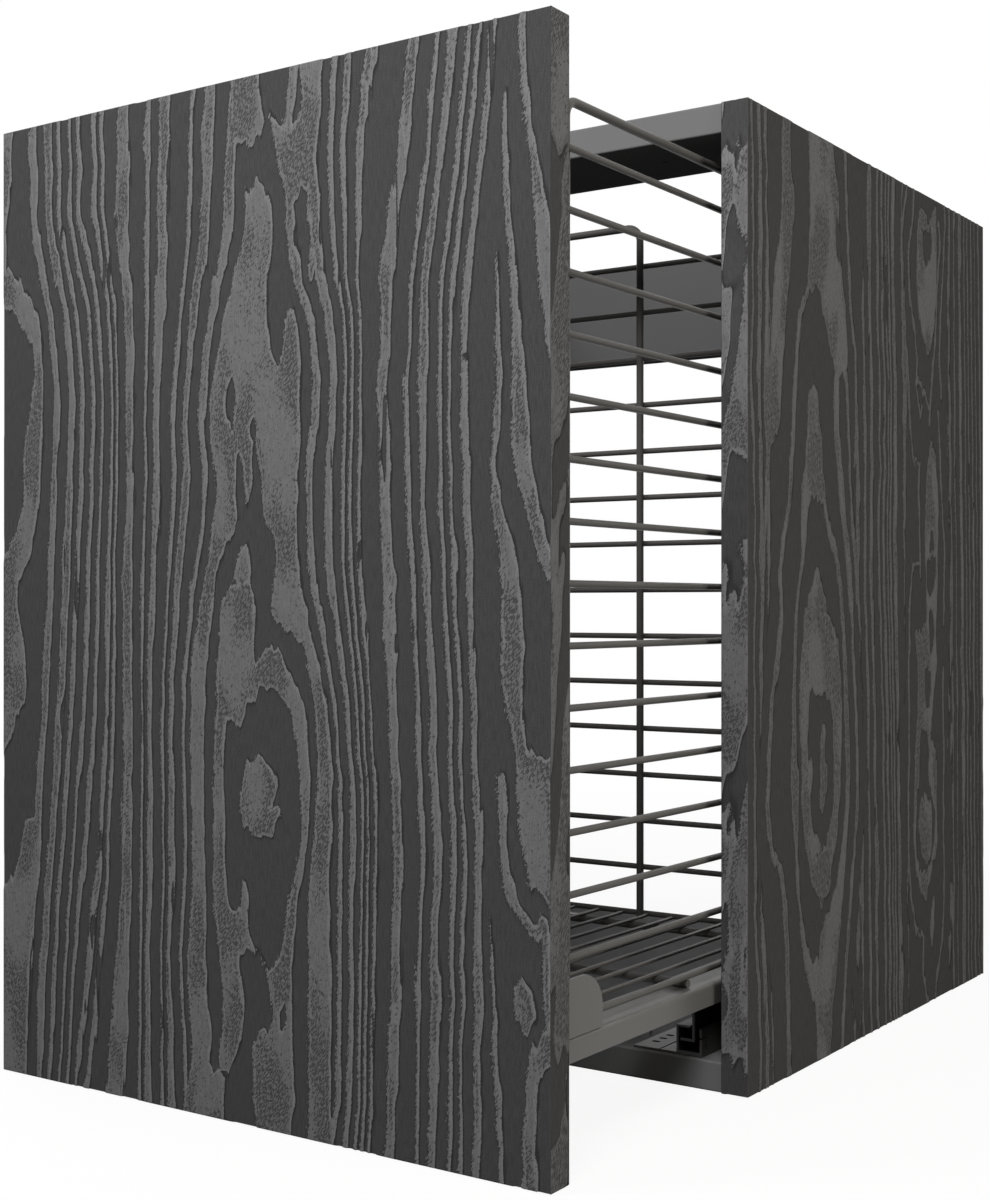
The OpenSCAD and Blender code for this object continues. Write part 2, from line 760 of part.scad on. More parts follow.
// Holes from x0 to x1 for the rivets that hold a slide, in line with the spacers
module slide_rivet_holes(x0, x1, shift) {
    for (y = spacer_ys())
        rod_x(x0 - cut, x1 + cut, y - shift, slide_mid_z, slide_rivet_d + 2 * fit_gap);
}

module slide_outer(side) {
    color(black_steel) on_side(side) {
        difference() {
            slide_section(runner_y, runner_end_y) difference() {
                c_section(0, outer_lip_u, slide_h / 2, slide_sheet, outer_lip);
                race(outer_ball_u, outer_face_v + race_depth, 1, outer_ball_d);
            }
            slide_rivet_holes(slide_outer_x - slide_sheet, slide_outer_x, 0);
        }
        cage_stops(slide_sheet, 0);
    }
}

module slide_middle(side) {
    color(black_steel) on_side(side) {
        slide_section(runner_y - middle_shift, runner_end_y - middle_shift) difference() {
            c_section(middle_back_u, middle_lip_u, middle_top_v, slide_sheet, middle_lip);
            race(outer_ball_u, middle_top_v - race_depth, -1, outer_ball_d);
            race(inner_ball_u, middle_face_v + race_depth, 1, inner_ball_d);
        }
        cage_stops(middle_back_u + slide_sheet, middle_shift);
    }
}

module slide_inner(side) {
    color(black_steel) on_side(side) difference() {
        slide_section(runner_y - rest_opening, runner_end_y - rest_opening) difference() {
            mirror([1, 0]) translate([-slide_w, 0])
                c_section(0, slide_w - inner_lip_u, inner_top_v, slide_sheet, 0);
            race(inner_ball_u, inner_top_v - race_depth, -1, inner_ball_d);
        }
        slide_rivet_holes(slide_inner_x, slide_inner_x + slide_sheet, rest_opening);
    }
}

// Rivets through the uprights, flush inside the outer members
module slide_rivets() {
    x = upright_outer_x;
    color(zinc) on_both_sides() for (y = spacer_ys()) {
        rod_x(slide_outer_x - slide_sheet, x, y, slide_mid_z, slide_rivet_d);
        rod_x(x, x + rivet_head_h, y, slide_mid_z, slide_rivet_head_d);
    }
}

// C-shaped strip that holds a row of balls above and a row below
module ball_cage(side, u0, v, ball_u, ball_d, mid_y) {
    u1 = ball_u + ball_d / 2 + cage_land;
    color(zinc) on_side(side) difference() {
        slide_section(mid_y - cage_len / 2, mid_y + cage_len / 2)
            for (s = [0, 1]) mirror([0, s]) {
                translate([u0, 0]) square([cage_sheet, v + cage_sheet / 2]);
                translate([u0, v - cage_sheet / 2]) square([u1 - u0, cage_sheet]);
            }
        ball_rows(ball_u, v, mid_y)
            cylinder(h = 2 * cage_sheet, d = ball_d + 2 * fit_gap, center = true, $fn = ball_fn);
    }
}

module outer_ball_cage(side) {
    ball_cage(side, slide_sheet + cage_margin, outer_ball_v, outer_ball_u, outer_ball_d,
        cage_mid_y - outer_cage_shift);
}

module inner_ball_cage(side) {
    ball_cage(side, middle_back_u + slide_sheet + cage_margin, inner_ball_v, inner_ball_u,
        inner_ball_d, cage_mid_y - inner_cage_shift);
}

module outer_balls() {
    color(ball_steel) on_both_sides()
        ball_rows(outer_ball_u, outer_ball_v, cage_mid_y - outer_cage_shift)
            sphere(d = outer_ball_d, $fn = ball_fn);
}

module inner_balls() {
    color(ball_steel) on_both_sides()
        ball_rows(inner_ball_u, inner_ball_v, cage_mid_y - inner_cage_shift)
            sphere(d = inner_ball_d, $fn = ball_fn);
}

// ---------- Tray rails, front and brackets ----------

// Inverted U with a rounded upper edge and a return flange under the outer wall
module tray_rail_section() {
    difference() {
        union() {
            translate([rail_inner_x, rail_bottom_z])
                square([rail_w, rail_top_z - rail_bottom_z - rail_edge_r]);
            translate([rail_inner_x, rail_top_z - rail_edge_r])
                square([rail_w - rail_edge_r, rail_edge_r]);
            translate([rail_outer_x - rail_edge_r, rail_top_z - rail_edge_r])
                circle(rail_edge_r);
        }
        translate([slide_inner_x, rail_bottom_z + rail_sheet]) square(
            [rail_w - 2 * rail_sheet, rail_top_z - rail_bottom_z - rail_sheet - rail_edge_r]);
        translate([slide_inner_x, rail_bottom_z + rail_sheet]) square(
            [rail_w - rail_sheet - rail_edge_r, rail_top_z - rail_bottom_z - 2 * rail_sheet]);
        translate([rail_outer_x - rail_edge_r, rail_top_z - rail_edge_r])
            circle(rail_edge_r - rail_sheet);
        translate([slide_inner_x, rail_bottom_z - cut])
            square([rail_w - rail_sheet - rail_return, rail_sheet + 2 * cut]);
    }
    translate([rail_inner_x, rail_wall_z]) square([rail_sheet, slide_mid_z - rail_wall_z]);
}

module tray_rail(side) {
    color(coated_steel) on_side(side) difference() {
        along_y(tray_front_y, tray_back_y) tray_rail_section();
        rod_z(rail_bottom_z - cut, rail_bottom_z + rail_sheet + cut, stop_x, stop_y,
            stop_screw_d + 2 * fit_gap);
        slide_rivet_holes(rail_inner_x, slide_inner_x, rest_opening);
    }
}

// Rivets through the rails' inner walls and the inner slide members
module rail_rivets() {
    tail_x = slide_inner_x + slide_sheet;
    color(zinc) on_both_sides() for (y = spacer_ys()) translate([0, y - rest_opening, 0]) {
        rod_x(rail_inner_x - rivet_head_h, rail_inner_x, 0, slide_mid_z, slide_rivet_head_d);
        rod_x(rail_inner_x, tail_x, 0, slide_mid_z, slide_rivet_d);
        rod_x(tail_x, tail_x + rivet_tail_h, 0, slide_mid_z, slide_rivet_head_d);
    }
}

module rail_stop_screws() {
    color(black_steel) on_both_sides() {
        rod_z(rail_bottom_z - stop_screw_tip, rail_bottom_z + rail_sheet, stop_x, stop_y,
            stop_screw_d);
        rod_z(rail_bottom_z + rail_sheet, rail_bottom_z + rail_sheet + screw_head_h, stop_x,
            stop_y, 2 * stop_screw_d);
    }
}

module front_panel() {
    color(grained) difference() {
        bevelled_board(-front_panel_x, front_panel_x, front_back_y - front_t, front_back_y,
            0, front_panel_h, panel_bevel);
        front_screw_shapes(fit_gap);
    }
}

module front_buffers() {
    buffer_x = (inner_x + front_panel_x) / 2;
    color(buffer_grey) on_both_sides() for (z = [buffer_inset, front_panel_h - buffer_inset])
        translate([buffer_x, front_back_y, z]) rotate([-90, 0, 0])
            cylinder(h = buffer_t, d1 = buffer_d, d2 = buffer_end_d);
}

// Side wing beside the basket, with a rounded upper corner, and a plate behind the front
module front_bracket(side) {
    wing_top = rail_top_z + bracket_rise;
    wing_end = front_back_y + bracket_len;
    r = bracket_corner_r;
    color(coated_steel) on_side(side) difference() {
        union() {
            along_x(rail_outer_x - bracket_sheet, rail_outer_x) intersection() {
                translate([front_back_y, rail_top_z]) square([bracket_len, bracket_rise]);
                union() {
                    translate([front_back_y, rail_top_z])
                        square([bracket_len - r, bracket_rise]);
                    translate([front_back_y, rail_top_z])
                        square([bracket_len, bracket_rise - r]);
                    translate([wing_end - r, wing_top - r]) circle(r);
                }
            }
            along_y(front_back_y, tray_front_y)
                round_rect(rail_outer_x - bracket_plate_w, rail_outer_x, bracket_bottom_z,
                    wing_top, plate_corner_r);
        }
        for (z = bracket_screw_rises) rod_y(front_back_y - cut, tray_front_y + cut,
            bracket_screw_x, rail_top_z + z, front_screw_d + 2 * fit_gap);
    }
}

module at_clips() {
    for (s = [-1, 1]) translate([s * end_leg_spread / 2, front_back_y, clip_mid_z]) children();
}

// Blocks that hold the front frame's legs to the back of the front
module upper_clips() {
    leg_y = basket_front_gap + wire_seat;
    back = leg_y + frame_d / 2 + clip_back_t;
    color(black_steel) at_clips() difference() {
        along_x(-clip_w / 2, clip_w / 2)
            round_rect(0, back, -clip_h / 2, clip_h / 2, board_edge_r);
        rod_z(-clip_h, clip_h, 0, leg_y, frame_d + 2 * fit_gap);
        for (s = [-1, 1]) translate([s * clip_screw_x, 0, 0]) {
            rod_y(-cut, back, 0, 0, front_screw_d + 2 * fit_gap);
            rod_y(bracket_sheet, back + cut, 0, 0, clip_screw_room_d);
        }
    }
}

module front_screw(grow) {
    rod_y(-front_screw_len - grow, bracket_sheet, 0, 0, front_screw_d + 2 * grow);
}

module at_front_screws() {
    on_both_sides() for (z = bracket_screw_rises)
        translate([bracket_screw_x, front_back_y, rail_top_z + z]) children();
    at_clips() for (s = [-1, 1]) translate([s * clip_screw_x, 0, 0]) children();
}

module front_screw_shapes(grow) {
    at_front_screws() front_screw(grow);
}

module front_screws() {
    color(zinc) at_front_screws() {
        front_screw(0);
        translate([0, bracket_sheet, 0]) rotate([-90, 0, 0]) screw_head(front_screw_d);
    }
}

// ---------- Basket ----------

module hoop(i) {
    x = hoop_x - hoop_corner_r;
    y_mid = (basket_front_y + basket_back_y) / 2;
    y = basket_d / 2 - hoop_corner_r;
    color(wire_grey) translate([0, y_mid, first_hoop_z + i * hoop_pitch])
        for (a = [0, 1]) mirror([a, 0, 0]) {
            rod_y(-y, y, hoop_x, 0, hoop_d);
            for (b = [0, 1]) mirror([0, b, 0]) {
                translate([x, y, 0]) wire_bend(hoop_corner_r, hoop_d);
                rod_x(0, x, basket_d / 2, 0, hoop_d);
            }
        }
}

module side_frame(side) {
    spread = side_leg_back_y - side_leg_front_y;
    color(wire_grey) on_side(side)
        translate([side_frame_x, (side_leg_back_y + side_leg_front_y) / 2, 0])
            rotate([0, 0, 90])
                bent_frame(spread, rail_top_z + weld_gap, frame_top_z, frame_bend_r, frame_d);
}

module end_frame(y) {
    color(wire_grey) translate([0, y, 0])
        bent_frame(end_leg_spread, end_leg_z, frame_top_z, frame_bend_r, frame_d);
}

module back_frame() {
    end_frame(basket_back_y - wire_seat);
}

module front_frame() {
    end_frame(basket_front_y + wire_seat);
}

module cross_wires() {
    color(wire_grey) for (i = [0 : cross_count - 1])
        rod_x(-hoop_x - cross_end, hoop_x + cross_end,
            basket_back_y - cross_back_inset - i * cross_pitch, cross_z, cross_d);
}

module floor_wires() {
    reach = hoop_d / 2 + weld_gap;
    color(wire_grey) for (i = [1 : floor_spaces - 1])
        rod_y(basket_front_y + reach, basket_back_y - reach, -hoop_x + i * floor_wire_step,
            floor_top_z + floor_wire_d / 2, floor_wire_d);
}

// ---------- Pieces ----------

side_panel("left");  // left_side_panel
side_panel("right");  // right_side_panel
bottom_panel();
front_top_rail();
rear_rail();
dowels();
cam_housings();
cam_bolts();
base_plate("left");  // base_plate_left
base_plate("right");  // base_plate_right
base_plate_screws();
runner_channel("left");  // runner_channel_left
runner_channel("right");  // runner_channel_right
runner_upright("left");  // runner_upright_left
runner_upright("right");  // runner_upright_right
runner_spacers();
slide_outer("left");  // slide_outer_left
slide_outer("right");  // slide_outer_right
slide_rivets();
outer_ball_cage("left");  // outer_ball_cage_left
outer_ball_cage("right");  // outer_ball_cage_right
outer_balls();
slide_middle("left");  // slide_middle_left
slide_middle("right");  // slide_middle_right
inner_ball_cage("left");  // inner_ball_cage_left
inner_ball_cage("right");  // inner_ball_cage_right
inner_balls();
slide_inner("left");  // slide_inner_left
slide_inner("right");  // slide_inner_right
tray_rail("left");  // tray_rail_left
tray_rail("right");  // tray_rail_right
rail_rivets();
rail_stop_screws();
front_panel();
front_buffers();
front_bracket("left");  // front_bracket_left
front_bracket("right");  // front_bracket_right
upper_clips();
front_screws();
side_frame("left");  // side_frame_left
side_frame("right");  // side_frame_right
back_frame();
front_frame();
cross_wires();
floor_wires();
for (i = [0 : hoop_count - 1])
    hoop(i);
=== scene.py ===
import math

import bpy
import numpy as np
from mathutils import Matrix, Vector
from mathutils.geometry import delaunay_2d_cdt


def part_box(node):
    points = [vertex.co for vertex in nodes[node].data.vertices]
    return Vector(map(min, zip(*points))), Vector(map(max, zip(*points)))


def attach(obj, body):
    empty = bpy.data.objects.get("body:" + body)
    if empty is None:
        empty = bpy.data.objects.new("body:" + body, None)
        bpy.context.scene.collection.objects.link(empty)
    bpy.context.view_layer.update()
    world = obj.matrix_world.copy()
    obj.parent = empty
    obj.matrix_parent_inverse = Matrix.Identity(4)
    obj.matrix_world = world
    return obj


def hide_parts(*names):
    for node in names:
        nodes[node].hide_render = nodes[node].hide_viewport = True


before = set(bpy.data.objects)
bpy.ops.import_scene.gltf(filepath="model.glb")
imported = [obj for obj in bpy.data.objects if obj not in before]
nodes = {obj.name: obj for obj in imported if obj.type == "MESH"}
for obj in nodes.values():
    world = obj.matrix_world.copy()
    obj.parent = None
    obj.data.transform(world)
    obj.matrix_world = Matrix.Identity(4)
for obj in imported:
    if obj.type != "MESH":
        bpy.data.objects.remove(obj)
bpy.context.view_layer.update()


# ---------- Side panels ----------
# Two 22 mm boards stand on edge and carry the whole unit. Their outer faces and edges wear a
# charcoal softwood decor, pressed so that its pale bands stand proud of the dark ground.
# The inner faces are smooth laminate, and the edges are eased by 0.8 mm.

MM = 0.001
RELIEF = 0.45  # mm from the dark ground up to the top of a pale band
BAND_FLANK = 1.4  # mm across a band's rising edge
EDGE_EASE = 0.8  # mm
ACROSS_STEP = 1.3  # mm between the mesh's lines across the grain
ALONG_STEP = 4.0  # mm between its lines along the grain
THICKNESS_STEP = 2.0  # mm between its lines through the board
INNER_STEP = 30.0  # mm between points on the smooth inner face
WIDEST_BAND = 4.0  # mm, where the distance to a band's edge stops counting
NOISE_CELLS = 256  # chance values along each side of a noise, before it repeats
NOISE_START = 1000  # the cell that lies at zero
FAR_AWAY = 1e9  # mm
TINY = 1e-9  # keeps a divisor from zero


def smooth_noise(u, v, u_size, v_size, seed):
    """Smooth chance values from -1 to 1, in lumps of u_size by v_size."""
    lattice = np.random.RandomState(seed).uniform(-1, 1, (NOISE_CELLS, NOISE_CELLS))
    a, b = u / u_size + NOISE_START, v / v_size + NOISE_START
    i, j = np.floor(a).astype(int), np.floor(b).astype(int)
    s, t = a - i, b - j
    s, t = s * s * (3 - 2 * s), t * t * (3 - 2 * t)
    i, next_i = i % NOISE_CELLS, (i + 1) % NOISE_CELLS
    j, next_j = j % NOISE_CELLS, (j + 1) % NOISE_CELLS
    lower = lattice[i, j] * (1 - s) + lattice[next_i, j] * s
    upper = lattice[i, next_j] * (1 - s) + lattice[next_i, next_j] * s
    return lower * (1 - t) + upper * t


# How far the grain bends, jogs and shakes sideways, in mm, each with the size of its lumps
BEND, BEND_LUMP = 4.5, (120, 130)
JOG, JOG_LUMP = 2.2, (60, 26)
SHAKE, SHAKE_LUMP = 0.7, (22, 11)
JOG_SHARPNESS = 1.7


def grain_wander(u, v, seed):
    """How far the grain runs sideways, in mm: slow bends, short jogs and a little shake."""
    jog = smooth_noise(u, v, *JOG_LUMP, seed + 1)
    return (
        BEND * smooth_noise(u, v, *BEND_LUMP, seed)
        + JOG * np.sign(jog) * abs(jog) ** JOG_SHARPNESS
        + SHAKE * smooth_noise(u, v, *SHAKE_LUMP, seed + 2)
    )


FIRST_COUNT = 0.7  # ring count where the rings begin, in dark ground
PALE_SHARE = 0.5  # the pale part of a ring
PALE_VARIES = 0.1  # by how much that part varies
LAST_FADE = 6.0  # mm from the last band out into plain ground
LAST_SHARE = 0.8  # the part of the last ring that is counted there


def growth_rings(distance, bands):
    """Ring count at a distance from where the rings begin: whole where a pale band starts, and a
    half more where it ends."""
    edges, counts = [0], [FIRST_COUNT]
    for number, (inner, outer) in enumerate(bands, start=1):
        edges += [inner, outer]
        counts += [number, number + PALE_SHARE]
    return np.interp(distance, edges + [outer + LAST_FADE], counts + [number + LAST_SHARE])


FINE_FRAY = 0.045  # of a ring, at the bands' edges
COARSE_FRAY = 0.07
ALONG_WEIGHT = 0.5  # of the count's slope along the grain, against its slope across
LEAST_SLOPE = 0.02  # rings for each mm
FLECK_LIMIT = 0.88  # where the noise goes past it, dark flecks open in the pale bands
FLECK_FLANK = 9  # mm for each unit of the noise


def band_depth(count, u, v, seed):
    """Distance in mm into the pale bands, and below zero out in the dark ground."""
    share = PALE_SHARE + PALE_VARIES * smooth_noise(u, v, 14, 70, seed + 6)
    count = count + FINE_FRAY * smooth_noise(u, v, 1.5, 12, seed + 4)
    count = count + COARSE_FRAY * smooth_noise(u, v, 5, 38, seed + 5)
    part = count - np.floor(count)
    inside = np.where(
        part > share, -np.minimum(part - share, 1 - part), np.minimum(part, share - part)
    )
    along, across = np.gradient(count, v[:, 0], u[0, :])
    slope = np.maximum(np.hypot(across, ALONG_WEIGHT * along), LEAST_SLOPE)
    fleck = smooth_noise(u, v, 3.2, 30, seed + 7) + 0.5 * smooth_noise(u, v, 20, 120, seed + 8)
    depth = inside / slope
    depth = np.where(depth > 0, np.minimum(depth, (FLECK_LIMIT - fleck) * FLECK_FLANK), depth)
    return np.clip(depth, -WIDEST_BAND, WIDEST_BAND)


PATCH_LEAN = 0.12  # mm sideways for each mm up a narrow face
PATCH_GROWTH = 0.05  # makes the pale patches a little larger than the dark ones
PATCH_FLANK = 12  # mm for each unit of the noise


def edge_depth(u, v, seed):
    """The same distance on a board's narrow faces, which cut the bands into slanting patches."""
    slant = u - PATCH_LEAN * v
    patch = smooth_noise(slant, v, 11, 55, seed) + 0.3 * smooth_noise(slant, v, 5, 21, seed + 1)
    return np.clip((patch + PATCH_GROWTH) * PATCH_FLANK, -WIDEST_BAND, WIDEST_BAND)


def segment_distance(u, v, u0, v0, u1, v1):
    """Distance in mm to the straight line between two points."""
    du, dv = u1 - u0, v1 - v0
    share = np.clip(((u - u0) * du + (v - v0) * dv) / max(du * du + dv * dv, TINY), 0, 1)
    return np.hypot(u - u0 - share * du, v - v0 - share * dv)


CURVE_STEPS = (0, 0.2, 0.4, 0.6, 0.8)  # places on an outline from one of its points to the next
PATH_STEPS = 4  # straight pieces of a path for each of its points


def outline_distance(u, v, outline):
    """Distance in mm to a closed outline that runs smoothly through its points, above zero inside."""
    here = np.array(outline, float)
    before, after, later = (np.roll(here, shift, axis=0) for shift in (1, -1, -2))
    curve = []
    for t in CURVE_STEPS:
        bend = (2 * before - 5 * here + 4 * after - later) * t**2
        twist = (3 * here - before - 3 * after + later) * t**3
        curve.append(0.5 * (2 * here + (after - before) * t + bend + twist))
    curve = np.stack(curve, axis=1).reshape(-1, 2)
    nearest = np.full(u.shape, FAR_AWAY)
    within = np.zeros(u.shape, bool)
    for (u0, v0), (u1, v1) in zip(curve, np.roll(curve, -1, axis=0)):
        nearest = np.minimum(nearest, segment_distance(u, v, u0, v0, u1, v1))
        if v0 != v1:
            within ^= ((v0 > v) != (v1 > v)) & (u < u0 + (v - v0) * (u1 - u0) / (v1 - v0))
    return np.where(within, nearest, -nearest)


def path_distance(u, v, width, path):
    """Distance in mm inside a band of this width along a path."""
    steps = np.linspace(0, len(path) - 1, PATH_STEPS * len(path))
    curve = [np.interp(steps, range(len(path)), places) for places in zip(*path)]
    nearest = np.full(u.shape, FAR_AWAY)
    for u0, v0, u1, v1 in zip(curve[0], curve[1], curve[0][1:], curve[1][1:]):
        nearest = np.minimum(nearest, segment_distance(u, v, u0, v0, u1, v1))
    return width / 2 - nearest


RAGGED_ACROSS = 1.1  # mm that a patch's edge is ragged by
RAGGED_ALONG = 5


def paint_patches(depth, u, v, patches, seed):
    """Lays patches of wood over the straight bands, each with a ragged edge, in their order."""
    u = u + RAGGED_ACROSS * smooth_noise(u, v, 2.5, 11, seed + 9)
    v = v + RAGGED_ALONG * smooth_noise(u, v, 3.5, 30, seed + 10)
    for kind, points in patches:
        if kind == "dark":
            depth = np.minimum(depth, -outline_distance(u, v, points))
        elif kind == "pale":
            depth = np.maximum(depth, outline_distance(u, v, points))
        else:
            depth = np.maximum(depth, path_distance(u, v, kind, points))
    return np.clip(depth, -WIDEST_BAND, WIDEST_BAND)


def mesh_lines(length, step):
    """Places of the mesh's lines along one side of a board, with one at each eased edge."""
    inside = length - 2 * EDGE_EASE
    between = EDGE_EASE + np.arange(1, round(inside / step)) * inside / round(inside / step)
    return np.concatenate([[0, EDGE_EASE], between, [length - EDGE_EASE, length]])


SHOWN, SMOOTH, NARROW = 0, 1, 2  # a board's finishes: its shown face, inner face and narrow faces
ENDS_SEED = 50  # added to a board's seed for its top and bottom
SIDES_SEED = 40  # and for its two long narrow faces
SAME_POINT = 1e-7  # mm, within which two points are one


def grained_board(name, node, body, turn, figure, seed, finishes):
    """A closed mesh of a grained board in place of its CAD node. In the board's own frame u runs
    across the shown face, t into the board and v up; turn is the board's turn about the vertical.
    The finishes are those of its shown face, its inner face and its narrow faces."""
    low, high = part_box(node)
    spin = Matrix.Rotation(turn, 3, "Z")
    local = [spin.inverted() @ corner for corner in (low, high)]
    start = Vector(map(min, *local)) / MM
    size = (Vector(map(max, *local)) / MM) - start
    us, ts, vs = (
        mesh_lines(length, step)
        for length, step in zip(size, (ACROSS_STEP, THICKNESS_STEP, ALONG_STEP))
    )

    # The bands on the four narrow faces, then on the shown face. The flow is the place along and
    # across the fibres, and the lean is 1 where a band starts on its left and -1 where it ends.
    shape = (len(us), len(ts), len(vs))
    depth = np.full(shape, -WIDEST_BAND)
    lean = np.zeros(shape)
    flow = np.zeros(shape + (3,))
    for place in (0, -1):
        inward, along = np.meshgrid(ts, us)
        depth[:, :, place] = edge_depth(inward, along, seed + ENDS_SEED + place)
        flow[:, :, place, 0] = inward
        flow[:, :, place, 1] = along
    for place, side in ((0, -1), (-1, 1)):
        up, inward = np.meshgrid(vs, ts)
        depth[place] = edge_depth(side * inward, up, seed + SIDES_SEED + place)
        lean[place] = side * np.gradient(depth[place], ts, axis=0)
        flow[place, :, :, 0] = us[place] + side * inward
        flow[place, :, :, 1] = up
    across, up = np.meshgrid(us + start.x, vs + start.z)
    depth[:, 0] = figure(across, up).T
    lean[:, 0] = np.gradient(depth[:, 0], us, axis=0)
    flow[:, 0, :, 0] = (across + grain_wander(across, up, seed)).T
    flow[:, 0, :, 1] = up.T
    depth[:, -1] = -WIDEST_BAND
    lean = np.clip(lean, -1, 1)

    # Places: eased edges, with the ground pressed in below the bands
    grid = np.stack(np.meshgrid(us, ts, vs, indexing="ij"), -1)
    limits = np.array(size)
    core = np.clip(grid, EDGE_EASE, limits - EDGE_EASE)
    outward = grid - core
    reach = np.linalg.norm(outward, axis=-1, keepdims=True)
    proud = np.clip(depth / BAND_FLANK + 0.5, 0, 1)
    pressed = RELIEF * (1 - proud * proud * (3 - 2 * proud))
    pressed[:, -1] = 0
    places = core + outward / np.maximum(reach, TINY) * (EDGE_EASE - pressed[..., None])

    # Only the skin of the grid is a mesh; the smooth inner face has few points
    skin = np.zeros(shape, bool)
    skin[[0, -1]] = skin[:, 0] = skin[..., 0] = skin[..., -1] = True
    index = np.full(shape, -1)
    index[skin] = np.arange(skin.sum())
    points = places[skin]
    faces = []
    slots = []

    def sheet(ids, flip, finish):
        quads = np.stack([ids[:-1, :-1], ids[1:, :-1], ids[1:, 1:], ids[:-1, 1:]], -1)
        quads = quads.reshape(-1, 4)
        faces.extend((quads[:, ::-1] if flip else quads).tolist())
        slots.extend([finish] * len(quads))

    sheet(index[:, 0], False, SHOWN)
    sheet(index[0], True, NARROW)
    sheet(index[-1], False, NARROW)
    sheet(index[:, :, 0], True, NARROW)
    sheet(index[:, :, -1], False, NARROW)
    rim = np.concatenate(
        [index[:-1, -1, 0], index[-1, -1, :-1], index[:0:-1, -1, -1], index[0, -1, :0:-1]]
    )
    inner_u = np.arange(INNER_STEP, limits[0] - INNER_STEP / 2, INNER_STEP)
    inner_v = np.arange(INNER_STEP, limits[2] - INNER_STEP / 2, INNER_STEP)
    eased = [
        Vector((x, z))
        for x, z in zip(
            np.clip(points[rim, 0], EDGE_EASE, limits[0] - EDGE_EASE),
            np.clip(points[rim, 2], EDGE_EASE, limits[2] - EDGE_EASE),
        )
    ]
    middle = [Vector((x, z)) for x in inner_u for z in inner_v]
    flat, _, triangles, origins, _, _ = delaunay_2d_cdt(eased + middle, [], [], 0, SAME_POINT)
    first = len(points)
    points = np.vstack([points, [(p.x, limits[1], p.y) for p in flat]])
    for triangle in triangles:
        a, b, c = (flat[k] for k in triangle)
        turned = (b - a).cross(c - a) > 0
        faces.append([first + k for k in (triangle[::-1] if turned else triangle)])
        slots.append(SMOOTH)
    ring = {}
    for made, sources in enumerate(origins):
        for source in sources:
            if source < len(rim):
                ring[source] = first + made
    for k in range(len(rim)):
        n = (k + 1) % len(rim)
        corners = [rim[k], ring[k], ring[n], rim[n]]
        if ring[k] == ring[n]:
            corners = [rim[k], ring[k], rim[n]]
        faces.append([int(c) for c in corners])
        slots.append(SMOOTH)

    mesh = bpy.data.meshes.new(name)
    placed = (points + np.array(start)) * MM
    mesh.from_pydata((placed @ np.array(spin).T).tolist(), [], faces)
    extra = len(points) - int(skin.sum())
    for label, values, plain in (("band", depth[skin], -WIDEST_BAND), ("lean", lean[skin], 0)):
        filled = np.concatenate([values, np.full(extra, plain)])
        mesh.attributes.new(label, "FLOAT", "POINT").data.foreach_set("value", filled)
    vectors = np.vstack([flow[skin], np.zeros((extra, 3))])
    mesh.attributes.new("flow", "FLOAT_VECTOR", "POINT").data.foreach_set("vector", vectors.ravel())
    mesh.polygons.foreach_set("material_index", slots)
    mesh.polygons.foreach_set("use_smooth", [True] * len(faces))
    mesh.update()
    board = bpy.data.objects.new(name, mesh)
    bpy.context.scene.collection.objects.link(board)
    for finish in finishes:
        mesh.materials.append(finish)
    evened = board.modifiers.new("even_faces", "WEIGHTED_NORMAL")
    evened.keep_sharp = True
    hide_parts(node)
    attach(board, body)


def add_node(tree, kind, links=(), **settings):
    """A shader node with its settings, and each input either linked or given a value."""
    made = tree.nodes.new("ShaderNode" + kind)
    for key, value in settings.items():
        setattr(made, key, value)
    for place, value in dict(links).items():
        if isinstance(value, bpy.types.NodeSocket):
            tree.links.new(value, made.inputs[place])
        else:
            made.inputs[place].default_value = value
    return made


def maths(tree, operation, a, b):
    """A sum, product or other operation on two values."""
    return add_node(tree, "Math", {0: a, 1: b}, operation=operation).outputs[0]


def ramp(tree, value, start, end, low=0.0, high=1.0):
    """low below start, high above end, and smooth between them."""
    links = {"Value": value, "From Min": start, "From Max": end, "To Min": low, "To Max": high}
    return add_node(tree, "MapRange", links, interpolation_type="SMOOTHSTEP").outputs["Result"]


def blend_colours(tree, factor, a, b):
    """Colour a where the factor is 0, and b where it is 1."""
    made = add_node(tree, "Mix", {"Factor": factor}, data_type="RGBA")
    for place, value in ((6, a), (7, b)):
        if isinstance(value, bpy.types.NodeSocket):
            tree.links.new(value, made.inputs[place])
        else:
            made.inputs[place].default_value = (*value, 1)
    return made.outputs[2]


def stretched_noise(tree, place, scale, detail):
    """Noise stretched by a scale for each direction."""
    mapped = add_node(tree, "Mapping", {"Vector": place, "Scale": scale})
    links = {"Vector": mapped.outputs[0], "Scale": 1.0, "Detail": detail}
    return add_node(tree, "TexNoise", links).outputs["Fac"]


def new_finish(name, specular, metallic=0.0):
    """A material with an empty tree but for its main shader."""
    made = bpy.data.materials.new(name)
    made.use_nodes = True
    tree = made.node_tree
    shader = tree.nodes["Principled BSDF"]
    shader.inputs["Specular IOR Level"].default_value = specular
    shader.inputs["Metallic"].default_value = metallic
    return made, tree, shader


def bump(tree, shader, height, distance, strength):
    """Relief in the finish, where a height of 1 stands this many metres proud."""
    links = {"Height": height, "Distance": distance, "Strength": strength}
    made = add_node(tree, "Bump", links)
    tree.links.new(made.outputs[0], shader.inputs["Normal"])


STROKE_SLANT = math.radians(32)
COOL = 1.01  # blue in a dull grey, against its red and green
LIGHT_SPOT, LIGHT_SPOT_BLUE = 1.33, 1.35  # a tone's lightest spots, against its darkest
# Tones of the painted shadow line beside a band, against the ground's
PAINTED_SHADOW, PAINTED_SHADOW_BLUE = 0.45, 0.46  # the soft dark line, against the ground
CLOSED = 0.17  # how much hold closes the gaps between the strokes


